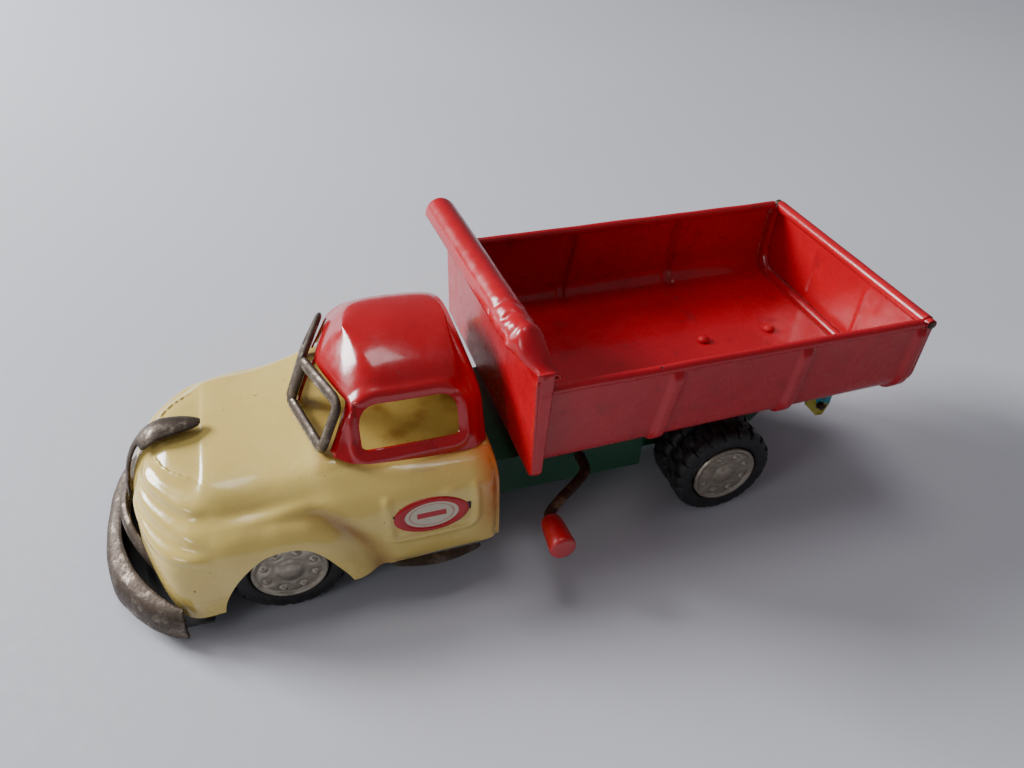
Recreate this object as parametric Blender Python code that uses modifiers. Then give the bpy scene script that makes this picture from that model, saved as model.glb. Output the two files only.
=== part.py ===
"""Pressed-tin toy dump truck with a crank-raised bed, a swinging tailgate and dual rear wheels.

The front is -Y, up is +Z, and the truck's left side, which carries the crank, is +X. Sizes are
in millimetres from a datum on the truck's centre plane at floor level. The empty truck_datum
shifts that datum so that the origin lies on the floor under the middle of the whole truck.
"""
from math import cos, pi, radians, sin

import bmesh
import bpy
from mathutils import Matrix, Vector
import numpy as np

MM = 0.001
GAP = 0.3
DATUM_SHIFT = (-4.35, 3.85, 0.0)

# Sheet and wire
TIN = 0.6
PLATE = 0.8
CHASSIS_TIN = 0.7
AXLE_RADIUS = 1.25
WIRE_RADIUS = 1.2
PIN_RADIUS = 0.9
BORE_CLEARANCE = 0.3

# Wheels
WHEEL_RADIUS = 12.5
TYRE_BORE = 8.3
TYRE_WIDTH = 7.2
HUB_RADIUS = 8.0
FRONT_AXLE_Y = -57.03
REAR_AXLE_Y = 45.69
FRONT_HUB_FACE = 28.6
REAR_HUB_FACE = 28.3
REAR_INNER_FACE = 20.5
HUB_DEPTH = 6.4
WHEEL_SIDES = 32
TYRE_BACK_CHAMFER = 1.5

# Chassis channel
CHASSIS_TOP = 21.8
FRAME_HALF_WIDTH = 17.5
TAIL_HALF_WIDTH = 12.0
APRON_TOP = 4.0

# Bed
BED_HALF_WIDTH = 30.6
RIM_RADIUS = 1.1
RIM_Z = 51.1
FLOOR_TOP = 32.0
FLOOR_BOTTOM = 31.4
BED_REAR = 88.4
RIB_STATIONS = (24.5, 55.5, 85.5)
RIB_HALF_WIDTH = 1.9
RIB_HEIGHT = 0.55
RIVET_STATIONS = (51.0, 70.0)
HEADBOARD_HALF_WIDTH = 33.3
HEADBOARD_SKEW = 0.02
HEADBOARD_Y = -7.05
TAILGATE_AXIS = (87.2, 50.8)
TAILGATE_HALF_WIDTH = 28.6

# Tipping hinge and crank
HINGE_AXIS = (77.3, 19.3)
EAR_X = 18.0
BRACKET_TOP = 31.0
CRANK_AXIS = (11.5, 18.0)
GRIP_AXIS = (-1.2, 16.5)
GRIP_RADIUS = 3.0

# Cab details
BADGE_CENTRE = (30.85, -26.8, 23.5)
BADGE_HALF_SIZE = (8.0, 4.75)
RUNNING_BOARD = (-36.0, -16.5, 11.2)


# ---------------------------------------------------------------- scene set-up

def clear_scene():
    """Remove every object, and make the collections for parts and cutters."""
    for item in list(bpy.data.objects):
        bpy.data.objects.remove(item, do_unlink=True)
    made = []
    for name in ("toy_dump_truck", "cutters"):
        collection = bpy.data.collections.new(name)
        bpy.context.scene.collection.children.link(collection)
        made.append(collection)
    return made


PARTS, CUTTERS = clear_scene()
DATUM = bpy.data.objects.new("truck_datum", None)
DATUM.location = Vector(DATUM_SHIFT) * MM
PARTS.objects.link(DATUM)


def paint(name, colour, roughness, metallic=0.0):
    """Return a Principled material with the given colour and finish."""
    material = bpy.data.materials.new(name)
    material.use_nodes = True
    shader = material.node_tree.nodes["Principled BSDF"]
    shader.inputs["Base Color"].default_value = (*colour, 1.0)
    shader.inputs["Roughness"].default_value = roughness
    shader.inputs["Metallic"].default_value = metallic
    return material


CREAM = paint("cream_enamel", (0.75, 0.57, 0.20), 0.25)
RED = paint("red_enamel", (0.50, 0.005, 0.008), 0.25)
GREEN = paint("green_enamel", (0.0, 0.06, 0.03), 0.35)
TARNISHED = paint("tarnished_plate", (0.08, 0.06, 0.045), 0.45, 0.9)
HUB_METAL = paint("hub_metal", (0.20, 0.16, 0.12), 0.45, 0.8)
RUBBER = paint("black_rubber", (0.008, 0.007, 0.008), 0.65)
STEEL = paint("steel_wire", (0.14, 0.09, 0.06), 0.5, 0.9)
BLACK = paint("black_enamel", (0.006, 0.006, 0.006), 0.4)
PRINTED = paint("printed_tin", (0.02, 0.30, 0.33), 0.35)
GRIP_RED = paint("red_plastic", (0.60, 0.01, 0.015), 0.35)


# ---------------------------------------------------------------- building tools

def add_part(name, bm, material, origin=(0.0, 0.0, 0.0), collection=PARTS):
    """Turn a bmesh drawn in millimetres into an object whose origin is at the given point."""
    bmesh.ops.transform(bm, matrix=Matrix.Translation(-Vector(origin)), verts=bm.verts)
    bmesh.ops.scale(bm, vec=(MM, MM, MM), verts=bm.verts)
    mesh = bpy.data.meshes.new(name)
    bm.to_mesh(mesh)
    bm.free()
    mesh.materials.append(material)
    mesh.shade_smooth()
    mesh.set_sharp_from_angle(angle=radians(35))
    part = bpy.data.objects.new(name, mesh)
    part.location = Vector(origin) * MM
    part.parent = DATUM
    collection.objects.link(part)
    return part


def cutter(name, bm):
    """Add a hidden cutter drawn in millimetres."""
    item = add_part(name, bm, STEEL, collection=CUTTERS)
    item.hide_render = True
    item.display_type = "WIRE"
    return item


def thicken(part, thickness, offset=-1.0):
    """Give an open sheet its thickness, inwards unless told otherwise."""
    solid = part.modifiers.new("thickness", "SOLIDIFY")
    solid.thickness = thickness * MM
    solid.offset = offset
    solid.use_even_offset = True
    return part


def cut(part, tool, operation="DIFFERENCE"):
    """Cut a part with a tool, or join the tool to it."""
    boolean = part.modifiers.new("cut_" + tool.name, "BOOLEAN")
    boolean.operation = operation
    boolean.solver = "EXACT"
    boolean.object = tool
    return part


def grid_sheet(rows, closed=False, skip=None):
    """Return a bmesh sheet of quads through rows of points; skip(row, column) leaves one out."""
    bm = bmesh.new()
    lines = [[bm.verts.new(point) for point in row] for row in rows]
    columns = len(rows[0])
    for i in range(len(rows) - 1):
        for j in range(columns if closed else columns - 1):
            if skip and skip(i, j):
                continue
            k = (j + 1) % columns
            bm.faces.new((lines[i][j], lines[i][k], lines[i + 1][k], lines[i + 1][j]))
    loose = [vert for vert in bm.verts if not vert.link_faces]
    bmesh.ops.delete(bm, geom=loose, context="VERTS")
    return bm


def prism(outline, axis, start, end):
    """Return a bmesh prism: a flat outline in the other two axes, run along one axis."""
    others = [i for i in range(3) if i != axis]
    bm = bmesh.new()
    verts = []
    for first, second in outline:
        point = [0.0, 0.0, 0.0]
        point[axis] = start
        point[others[0]] = first
        point[others[1]] = second
        verts.append(bm.verts.new(point))
    face = bm.faces.new(verts)
    grown = bmesh.ops.extrude_face_region(bm, geom=[face])
    run = [0.0, 0.0, 0.0]
    run[axis] = end - start
    moved = [item for item in grown["geom"] if isinstance(item, bmesh.types.BMVert)]
    bmesh.ops.translate(bm, vec=run, verts=moved)
    bmesh.ops.recalc_face_normals(bm, faces=bm.faces)
    return bm


def block(low, high):
    """Return a bmesh box between two corners."""
    bm = bmesh.new()
    bmesh.ops.create_cube(bm, size=1.0)
    size = [b - a for a, b in zip(low, high)]
    bmesh.ops.scale(bm, vec=size, verts=bm.verts)
    bmesh.ops.translate(bm, vec=[(a + b) / 2 for a, b in zip(low, high)], verts=bm.verts)
    return bm


def rod(radius, start, end, yz, sides=20):
    """Return a bmesh rod along X."""
    bm = bmesh.new()
    turn = Matrix.Translation(((start + end) / 2, *yz)) @ Matrix.Rotation(pi / 2, 4, "Y")
    bmesh.ops.create_cone(bm, cap_ends=True, segments=sides, radius1=radius, radius2=radius,
                          depth=end - start, matrix=turn)
    return bm


def turned(profile, axis, centre, sides, closed):
    """Return a bmesh turned about an axis from (radius, along) points.

    A closed profile is a ring with a bore; an open one starts and ends on the axis.
    """
    line = Vector((1.0, 0.0, 0.0)) if axis == "X" else Vector((0.0, 0.0, 1.0))
    out = Vector((0.0, 0.0, -1.0)) if axis == "X" else Vector((1.0, 0.0, 0.0))
    bm = bmesh.new()
    verts = [bm.verts.new(Vector(centre) + out * radius + line * along) for radius, along in profile]
    pairs = list(zip(verts, verts[1:] + verts[:1]))
    edges = [bm.edges.new(pair) for pair in (pairs if closed else pairs[:-1])]
    bmesh.ops.spin(bm, geom=verts + edges, cent=centre, axis=line, angle=2 * pi, steps=sides,
                   use_merge=True)
    bmesh.ops.remove_doubles(bm, verts=bm.verts, dist=0.001)
    bmesh.ops.recalc_face_normals(bm, faces=bm.faces)
    return bm


def smooth_path(posts, steps):
    """Return points on a smooth curve that runs through every post."""
    points = [Vector(post) for post in posts]
    ends = [2 * points[0] - points[1]] + points + [2 * points[-1] - points[-2]]
    path = []
    for i in range(1, len(ends) - 2):
        before, start, end, after = ends[i - 1:i + 3]
        for step in range(steps):
            t = step / steps
            path.append(0.5 * (2 * start + (end - before) * t
                               + (2 * before - 5 * start + 4 * end - after) * t ** 2
                               + (3 * start - before - 3 * end + after) * t ** 3))
    path.append(points[-1])
    return path


def mirrored(half):
    """Close a half outline, drawn from front centre to rear centre, with its mirror image."""
    other = [Vector((-point.x, point.y, point.z)) for point in reversed(half[1:-1])]
    return half + other


def dome(rings, crown, across):
    """Return a bmesh sheet: closed rings from the foot up, then a crowned lid across the last."""
    bm = grid_sheet(rings, closed=True)
    bm.verts.ensure_lookup_table()
    count = len(rings[-1])
    top = [bm.verts[len(bm.verts) - count + i] for i in range(count)]
    half = count // 2
    previous = [top[0]] * (across + 1)
    for j in range(1, half + 1):
        right = top[j]
        left = top[(count - j) % count]
        if j == half:
            strip = [right] * (across + 1)
        else:
            strip = [right]
            for k in range(1, across):
                t = 1 - 2 * k / across
                height = right.co.z + crown(right.co.y) * (1 - t * t)
                strip.append(bm.verts.new((right.co.x * t, right.co.y, height)))
            strip.append(left)
        for k in range(across):
            corners = []
            for vert in (previous[k], previous[k + 1], strip[k + 1], strip[k]):
                if vert not in corners:
                    corners.append(vert)
            if len(corners) > 2:
                bm.faces.new(corners)
        previous = strip
    bmesh.ops.recalc_face_normals(bm, faces=bm.faces)
    if max(bm.faces, key=lambda face: face.calc_center_median().z).normal.z < 0:
        bmesh.ops.reverse_faces(bm, faces=bm.faces)
    return bm


def rounded_outline(corners, radii, steps=4):
    """Return a flat outline through corners, each rounded off with its own radius."""
    outline = []
    for i, radius in enumerate(radii):
        corner = Vector(corners[i])
        before = (Vector(corners[i - 1]) - corner).normalized()
        after = (Vector(corners[(i + 1) % len(corners)]) - corner).normalized()
        if radius == 0:
            outline.append(tuple(corner))
            continue
        for step in range(steps + 1):
            t = step / steps
            start = corner + before * radius
            end = corner + after * radius
            outline.append(tuple(start * (1 - t) ** 2 + corner * 2 * t * (1 - t) + end * t ** 2))
    return outline


# ---------------------------------------------------------------- running gear

def chassis():
    """Fold the chassis channel: wide under the cab, stepped in between the inner rear tyres."""
    wide, narrow = FRAME_HALF_WIDTH, TAIL_HALF_WIDTH
    stations = ((-72, 14.0, wide), (-63, 13.0, wide), (-61, 9.0, wide), (-53, 9.0, wide),
                (-50, 11.0, wide), (28, 11.0, wide), (31, 11.0, narrow), (40, 11.0, narrow),
                (42, 9.0, narrow), (50, 9.0, narrow), (62, 12.0, narrow), (66, 17.0, narrow),
                (79, 17.0, narrow))
    rows = []
    for y, foot, half in stations:
        rows.append([(-half, y, foot), (-half, y, CHASSIS_TOP), (half, y, CHASSIS_TOP), (half, y, foot)])
    bm = grid_sheet(rows)
    bmesh.ops.recalc_face_normals(bm, faces=bm.faces)
    if max(bm.faces, key=lambda face: face.calc_center_median().z).normal.z < 0:
        bmesh.ops.reverse_faces(bm, faces=bm.faces)
    part = thicken(add_part("chassis", bm, GREEN), CHASSIS_TIN)
    bores = (("front_axle_bore", AXLE_RADIUS, (FRONT_AXLE_Y, WHEEL_RADIUS)),
             ("rear_axle_bore", AXLE_RADIUS, (REAR_AXLE_Y, WHEEL_RADIUS)),
             ("hinge_bore", PIN_RADIUS, HINGE_AXIS),
             ("crank_bore", WIRE_RADIUS, CRANK_AXIS))
    for name, radius, yz in bores:
        cut(part, cutter(name, rod(radius + BORE_CLEARANCE, -30, 30, yz)))


def front_apron():
    """Lay the flat black apron under the open nose, from the bumper back to the front tyres."""
    front = smooth_path(((0, -94.9, 0), (8.3, -94.5, 0), (16.0, -93.0, 0), (21.7, -89.9, 0), (27.0, -85.6, 0),
                         (29.6, -82.0, 0)), 2)
    half = [(point.x, point.y) for point in front] + [(29.6, -74.0), (17.0, -70.5)]
    outline = half + [(-x, y) for x, y in reversed(half[1:])]
    add_part("front_apron", prism(outline, 2, APRON_TOP - TIN, APRON_TOP), BLACK)


def tyre(name, outer_face, side, axle_y):
    """Turn one tyre about its axle."""
    inner_face = outer_face - TYRE_WIDTH
    profile = ((TYRE_BORE, outer_face - 1.2), (TYRE_BORE + 0.7, outer_face - 0.3), (10.4, outer_face),
               (12.1, outer_face - 0.9), (WHEEL_RADIUS, outer_face - 2.2), (WHEEL_RADIUS, inner_face + 2.2),
               (12.1, inner_face + 0.9), (10.4, inner_face), (TYRE_BORE, inner_face + TYRE_BACK_CHAMFER))
    profile = [(radius, side * along) for radius, along in profile]
    centre = (0.0, axle_y, WHEEL_RADIUS)
    bm = turned(profile, "X", centre, WHEEL_SIDES, closed=True)
    add_part(name, bm, RUBBER, origin=centre)


def hub_cap(name, face, side, axle_y):
    """Turn one hub cap: a dished face, a deep rim and a boss for the axle's end."""
    back = face - HUB_DEPTH
    boss = AXLE_RADIUS + BORE_CLEARANCE
    profile = ((0.0, face + 0.3), (1.8, face + 0.1), (2.8, face - 0.5), (6.6, face - 0.5),
               (7.2, face - 0.1), (HUB_RADIUS, face - 0.3), (HUB_RADIUS, back), (HUB_RADIUS - 0.7, back),
               (HUB_RADIUS - 0.7, face - 1.2), (2.6, face - 1.2), (2.6, back), (boss, back),
               (boss, face - 1.6), (0.0, face - 1.6))
    profile = [(radius, side * along) for radius, along in profile]
    centre = (0.0, axle_y, WHEEL_RADIUS)
    bm = turned(profile, "X", centre, WHEEL_SIDES, closed=False)
    add_part(name, bm, HUB_METAL, origin=centre)


def inner_hub(name, side):
    """Turn the plain webbed hub inside one inner rear tyre."""
    outer = REAR_INNER_FACE - 0.6
    inner = REAR_INNER_FACE - TYRE_WIDTH + 0.6
    middle = (outer + inner) / 2
    rim = HUB_RADIUS - 0.8
    boss = AXLE_RADIUS + BORE_CLEARANCE
    profile = ((boss, outer), (2.8, outer), (2.8, middle + 0.5), (rim, middle + 0.5), (rim, outer),
               (HUB_RADIUS, outer), (HUB_RADIUS, inner), (rim, inner), (rim, middle - 0.5),
               (2.8, middle - 0.5), (2.8, inner), (boss, inner))
    profile = [(radius, side * along) for radius, along in profile]
    centre = (0.0, REAR_AXLE_Y, WHEEL_RADIUS)
    bm = turned(profile, "X", centre, WHEEL_SIDES, closed=True)
    add_part(name, bm, HUB_METAL, origin=centre)


def wheel_sets():
    """Make both axles with their tyres and hubs."""
    ends = (("front", FRONT_AXLE_Y, FRONT_HUB_FACE), ("rear", REAR_AXLE_Y, REAR_HUB_FACE))
    for end, axle_y, face in ends:
        reach = face - 2.0
        centre = (0.0, axle_y, WHEEL_RADIUS)
        add_part(end + "_axle", rod(AXLE_RADIUS, -reach, reach, centre[1:]), STEEL, origin=centre)
        outer = "_outer" if end == "rear" else ""
        for side_name, side in (("left", 1), ("right", -1)):
            tyre(end + outer + "_tyre_" + side_name, face - 0.3, side, axle_y)
            hub_cap(end + "_hub_cap_" + side_name, face, side, axle_y)
    for side_name, side in (("left", 1), ("right", -1)):
        tyre("rear_inner_tyre_" + side_name, REAR_INNER_FACE, side, REAR_AXLE_Y)
        inner_hub("rear_inner_hub_" + side_name, side)


# ---------------------------------------------------------------- cab

# Each level of the cab body's skin, from its foot up: nose (y, z), nose corner (x, y, z), then
# (x, z) at the front fender, the cowl, the door and the rear corner.
BODY_LEVELS = (
    ((-88.2, 15.0), (28.6, -79.0, 6.5), (30.9, 6.0), (30.4, 8.0), (30.3, 10.6), (30.2, 11.0)),
    ((-88.1, 16.5), (28.3, -79.3, 13.0), (31.0, 14.0), (30.6, 15.0), (30.4, 16.0), (30.3, 16.0)),
    ((-87.6, 19.5), (26.0, -79.6, 19.0), (30.4, 20.5), (30.4, 21.0), (30.3, 21.5), (30.2, 21.0)),
    ((-86.9, 22.0), (23.5, -78.6, 22.3), (28.9, 24.2), (29.5, 24.8), (29.7, 25.2), (29.6, 24.8)),
    ((-85.9, 24.6), (21.6, -76.9, 24.6), (26.2, 26.5), (27.5, 27.9), (28.2, 28.2), (28.0, 27.8)),
    ((-84.6, 27.0), (19.8, -75.6, 26.6), (23.6, 27.3), (25.2, 30.2), (26.0, 30.4), (25.8, 30.0)),
    ((-83.3, 28.9), (18.6, -74.6, 28.3), (22.0, 28.8), (23.0, 32.4), (23.6, 31.9), (23.4, 31.4)),
    ((-81.6, 30.4), (16.8, -73.2, 29.7), (20.0, 30.3), (20.6, 34.0), (20.8, 32.7), (20.6, 32.2)),
    ((-79.4, 31.4), (14.4, -71.6, 30.8), (17.0, 31.4), (17.6, 34.4), (17.6, 32.9), (17.6, 32.4)),
)
BODY_REAR_Y = (-11.3, -11.3, -11.3, -11.4, -11.6, -12.0, -12.8, -14.2, -16.0)


def body_ring(level, rear_y, steps):
    """Return one closed ring of the cab body's skin."""
    nose, corner, fender, cowl, door, rear = level
    quarter = corner[0] * 0.55
    bow = (corner[1] - nose[0]) / corner[0] ** 2
    drop = (nose[1] - corner[2]) / corner[0] ** 2
    posts = [(0.0, nose[0], nose[1]),
             (quarter, nose[0] + bow * quarter ** 2, nose[1] - drop * quarter ** 2),
             corner,
             (fender[0] - 0.7, -69.5, (fender[1] + corner[2]) / 2),
             (fender[0], -60.0, fender[1]),
             ((fender[0] + cowl[0]) / 2, -51.0, (fender[1] + cowl[1]) / 2),
             (cowl[0], -44.0, cowl[1]),
             (door[0], -30.0, door[1]),
             (rear[0], rear_y - 4.5, rear[1]),
             (rear[0] - 1.1, rear_y - 1.2, rear[1]),
             (rear[0] - 4.4, rear_y, rear[1]),
             (0.0, rear_y, rear[1])]
    return mirrored(smooth_path(posts, steps))


def body_crown(y):
    """Return how far the bonnet and cowl rise from their edge to the centre line."""
    return float(np.interp(y, (-80, -67, -57, -50, -40, -16), (0.1, 1.1, 1.6, 1.3, 0.3, 0.1)))


def arch_outline():
    """Return the wheel arch's outline in Y and Z, closed well below the body."""
    posts = ((-71.4, 5.0, 0), (-70.1, 9.9, 0), (-66.7, 15.6, 0), (-62.0, 19.9, 0), (-57.5, 21.2, 0),
             (-53.4, 20.7, 0), (-50.0, 18.2, 0), (-46.0, 11.6, 0), (-43.6, 6.0, 0))
    arch = smooth_path(posts, 2)
    return [(-71.6, 2.0)] + [(point.x, point.y) for point in arch] + [(-43.0, 2.0)]


def cab_body():
    """Press the cream cab body: bonnet, fenders, doors, top plate and rear wall in one skin."""
    rings = [body_ring(level, rear_y, 2) for level, rear_y in zip(BODY_LEVELS, BODY_REAR_Y)]
    part = thicken(add_part("cab_body", dome(rings, body_crown, 8), CREAM), TIN)
    cut(part, cutter("wheel_arches", prism(arch_outline(), 0, -36, 36)))
    reach = FRAME_HALF_WIDTH + GAP
    cut(part, cutter("chassis_notch", block((-reach, -17, 0), (reach, -6, CHASSIS_TOP + GAP))))


# Each level of the roof's skin: height at front, middle and rear, half width at the side, centre and
# corner of the windscreen face (y, x, y), and the rear wall's y.
ROOF_LEVELS = (
    ((35.5, 33.7, 33.1), 23.0, (-49.9, 20.8, -44.3), -12.3),
    ((38.0, 38.0, 38.0), 21.2, (-48.8, 19.8, -43.0), -12.1),
    ((42.0, 42.0, 42.0), 20.1, (-47.1, 18.8, -41.2), -12.3),
    ((45.7, 45.5, 45.5), 18.7, (-45.4, 17.3, -39.4), -13.0),
    ((49.2, 49.0, 48.8), 16.2, (-42.4, 14.8, -37.4), -14.2),
    ((51.8, 51.6, 51.2), 12.4, (-39.0, 11.4, -35.6), -16.2),
)


def roof_ring(level, steps):
    """Return one closed ring of the roof's skin; the windscreen's two faces stay flat."""
    (front_z, middle_z, rear_z), half, (centre_y, corner_x, corner_y), rear_y = level
    flat = [Vector((corner_x * t, centre_y + (corner_y - centre_y) * t, front_z)) for t in (0.0, 0.35, 0.7)]
    posts = [(corner_x, corner_y, front_z),
             (half - 0.4, corner_y + 4.6, (front_z + middle_z) / 2),
             (half, -28.0, middle_z),
             (half - 0.2, rear_y - 5.0, rear_z),
             (half - 1.6, rear_y - 1.3, rear_z),
             (half - 5.0, rear_y, rear_z),
             (0.0, rear_y + 0.2, rear_z)]
    return mirrored(flat + smooth_path(posts, steps))


def roof_crown(y):
    """Return how far the roof rises from its edge to the centre line."""
    return float(np.interp(y, (-39, -28, -16), (0.6, 2.3, 1.2)))


def cab_roof():
    """Press the red roof with two side windows and a vee windscreen opening."""
    rings = [roof_ring(level, 2) for level in ROOF_LEVELS]
    part = thicken(add_part("cab_roof", dome(rings, roof_crown, 8), RED), TIN)
    window_corners = ((-38.3, 37.0), (-18.6, 37.0), (-18.6, 45.0), (-38.3, 45.0))
    side_window = rounded_outline(window_corners, (1.2, 1.2, 4.0, 5.0))
    cut(part, cutter("side_windows", prism(side_window, 0, -30, 30)))
    for side_name, side in (("left", 1), ("right", -1)):
        pane = [(side * x, z) for x, z in rounded_outline(PANE_CORNERS, (0.8, 2.0, 2.0, 0.8))]
        cut(part, cutter("windscreen_" + side_name, prism(pane, 1, -58, -38.6)))


PANE_CORNERS = ((1.7, 37.0), (16.6, 36.8), (15.4, 44.0), (1.7, 44.2))
FRAME_BOTTOM = ((0.0, -51.6, 35.6), (19.4, -46.4, 35.3))
FRAME_TOP = ((0.0, -47.1, 46.0), (16.6, -41.3, 46.2))


def windscreen_point(u, v):
    """Return a point on one windscreen face, from the centre line out and from the foot up."""
    foot = Vector(FRAME_BOTTOM[0]).lerp(Vector(FRAME_BOTTOM[1]), u)
    head = Vector(FRAME_TOP[0]).lerp(Vector(FRAME_TOP[1]), u)
    return foot.lerp(head, v)


def windscreen_frame():
    """Make the vee windscreen frame: a rim round each pane and a shared centre post."""
    outer = rounded_outline(((0.0, 0.0), (1.0, 0.0), (1.04, 1.0), (0.0, 1.0)), (0.0, 0.12, 0.16, 0.0))
    inner_corners = ((0.07, 0.16), (0.88, 0.16), (0.91, 0.85), (0.07, 0.85))
    inner = rounded_outline(inner_corners, (0.02, 0.1, 0.12, 0.02))
    inner = [inner[2]] + inner[5:15] + [inner[17]]
    bm = bmesh.new()
    for side in (1, -1):
        loops = []
        for outline in (outer, inner):
            points = [windscreen_point(u, v) for u, v in outline]
            loops.append([bm.verts.new((side * p.x, p.y, p.z)) for p in points])
        count = len(outer)
        for i in range(count):
            k = (i + 1) % count
            bm.faces.new((loops[0][i], loops[0][k], loops[1][k], loops[1][i]))
    bmesh.ops.remove_doubles(bm, verts=bm.verts, dist=0.01)
    bmesh.ops.recalc_face_normals(bm, faces=bm.faces)
    if max(bm.faces, key=lambda face: face.calc_area()).normal.y > 0:
        bmesh.ops.reverse_faces(bm, faces=bm.faces)
    thicken(add_part("windscreen_frame", bm, TARNISHED), TIN)


def bonnet_ornament():
    """Lay the leaf-shaped bonnet ornament along the crown and fold it down over the nose."""
    posts = ((0, -66.8, 33.1), (0, -71.5, 34.2), (0, -76.5, 34.6), (0, -80.6, 33.9), (0, -84.4, 31.0),
             (0, -86.9, 27.0), (0, -88.6, 21.5), (0, -89.4, 16.4))
    spine = smooth_path(posts, 2)
    along = np.linspace(0, 1, len(spine))
    widths = np.interp(along, (0, 0.12, 0.3, 0.5, 0.62, 1), (0.5, 1.8, 3.0, 3.6, 3.0, 1.6))
    rows = []
    for point, half in zip(spine, widths):
        sag = 0.32 * half
        rows.append([(-half, point.y + 0.6 * sag, point.z - sag), (-half * 0.5, point.y, point.z),
                     (half * 0.5, point.y, point.z), (half, point.y + 0.6 * sag, point.z - sag)])
    thicken(add_part("bonnet_ornament", grid_sheet(rows), TARNISHED), PLATE * 0.8, offset=1.0)


def grille_bar():
    """Bend the grille bar round the top of the nose opening."""
    rows = []
    for i in range(17):
        x = -20.0 + 2.5 * i
        y = -91.0 + 0.0215 * x * x
        z = 14.0 - 0.0152 * x * x
        rows.append([(x, y + 0.5, z - 1.2), (x, y - 0.1, z), (x, y + 0.5, z + 1.2)])
    thicken(add_part("grille_bar", grid_sheet(rows), TARNISHED), PLATE, offset=-1.0)


def bumper():
    """Press the wrap-round bumper with its upright face leaning back at the top."""
    outer_posts = ((0, -96.2, 0), (8.5, -95.8, 0), (16.5, -94.2, 0), (22.4, -91.0, 0), (28.0, -86.4, 0),
                   (31.2, -82.3, 0), (32.6, -79.0, 0))
    inner_posts = ((0, -92.8, 0), (7.0, -92.4, 0), (12.6, -91.1, 0), (18.4, -88.8, 0), (24.4, -85.0, 0),
                   (28.8, -81.2, 0), (30.8, -78.6, 0))
    half = []
    for low, top in zip(smooth_path(outer_posts, 3), smooth_path(inner_posts, 3)):
        row = []
        for lean, height in ((0.0, 4.6), (0.12, 6.2), (0.4, 8.4), (1.0, 9.7)):
            point = low.lerp(top, lean)
            row.append((point.x, point.y, height))
        half.append(row)
    other = [[(-x, y, z) for x, y, z in row] for row in reversed(half[1:])]
    thicken(add_part("bumper", grid_sheet(other + half), TARNISHED), PLATE, offset=1.0)


def side_trim():
    """Add each door's oval badge and running board."""
    x, y, z = BADGE_CENTRE
    for side_name, side in (("left", 1), ("right", -1)):
        bm = bmesh.new()
        bmesh.ops.create_cone(bm, cap_ends=True, segments=32, radius1=1.0, radius2=1.0, depth=0.5)
        shape = Matrix.Diagonal((BADGE_HALF_SIZE[1], BADGE_HALF_SIZE[0], 1.0, 1.0))
        lean = Matrix.Rotation(side * radians(82), 4, "Y")
        bmesh.ops.transform(bm, matrix=Matrix.Translation((side * x, y, z)) @ lean @ shape, verts=bm.verts)
        add_part("badge_" + side_name, bm, RED, origin=(side * x, y, z))

        start, end, height = RUNNING_BOARD
        middle = (start + end) / 2
        edge = [(side * (30.9 + 2.3 * sin(pi * t)), start + (end - start) * t) for t in np.linspace(0, 1, 13)]
        board = prism(edge, 2, height - 0.9, height)
        add_part("running_board_" + side_name, board, TARNISHED, origin=(side * 31.0, middle, height))


# ---------------------------------------------------------------- bed

def rib_height(y):
    """Return how far the bed's skin is pressed outwards at a station."""
    nearest = min(abs(y - station) for station in RIB_STATIONS)
    return RIB_HEIGHT * max(0.0, min(1.0, (RIB_HALF_WIDTH - nearest) / (RIB_HALF_WIDTH * 0.6)))


def bed_section(y):
    """Return one closed section of the bed: outer skin, rolled rims and inner skin."""
    swell = rib_height(y)
    fillet = 2.5 + 3.5 * max(0.0, y + 5) / (BED_REAR + 5)
    bead = (BED_HALF_WIDTH - 0.43, RIM_Z)
    floor_swell = swell if y > 80 else 0.0

    def skin(wall, floor, radius):
        half = []
        for step in range(5):
            angle = -pi / 2 + pi / 2 * step / 4
            half.append((wall - radius + radius * cos(angle), floor + radius + radius * sin(angle)))
        return half

    outer = skin(BED_HALF_WIDTH + swell, FLOOR_BOTTOM - floor_swell, fillet)
    inner = skin(BED_HALF_WIDTH - TIN + swell, FLOOR_TOP - floor_swell, fillet - TIN)
    rim = []
    for step in range(9):
        angle = radians(-62 + 38 * step)
        rim.append((bead[0] + RIM_RADIUS * cos(angle), bead[1] + RIM_RADIUS * sin(angle)))
    shoulder = [(BED_HALF_WIDTH + swell, 48.9), (BED_HALF_WIDTH, 49.7)]
    inside = [(BED_HALF_WIDTH - TIN, 49.7), (BED_HALF_WIDTH - TIN + swell, 48.9)]
    right = [(0.0, FLOOR_BOTTOM - floor_swell)] + outer + shoulder + rim + inside + list(reversed(inner))
    right.append((0.0, FLOOR_TOP - floor_swell))
    left = [(-x, z) for x, z in reversed(right[1:-1])]
    skew = HEADBOARD_SKEW if y < 0 else 0.0
    return [Vector((x, y + skew * x, z)) for x, z in right + left]


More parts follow.
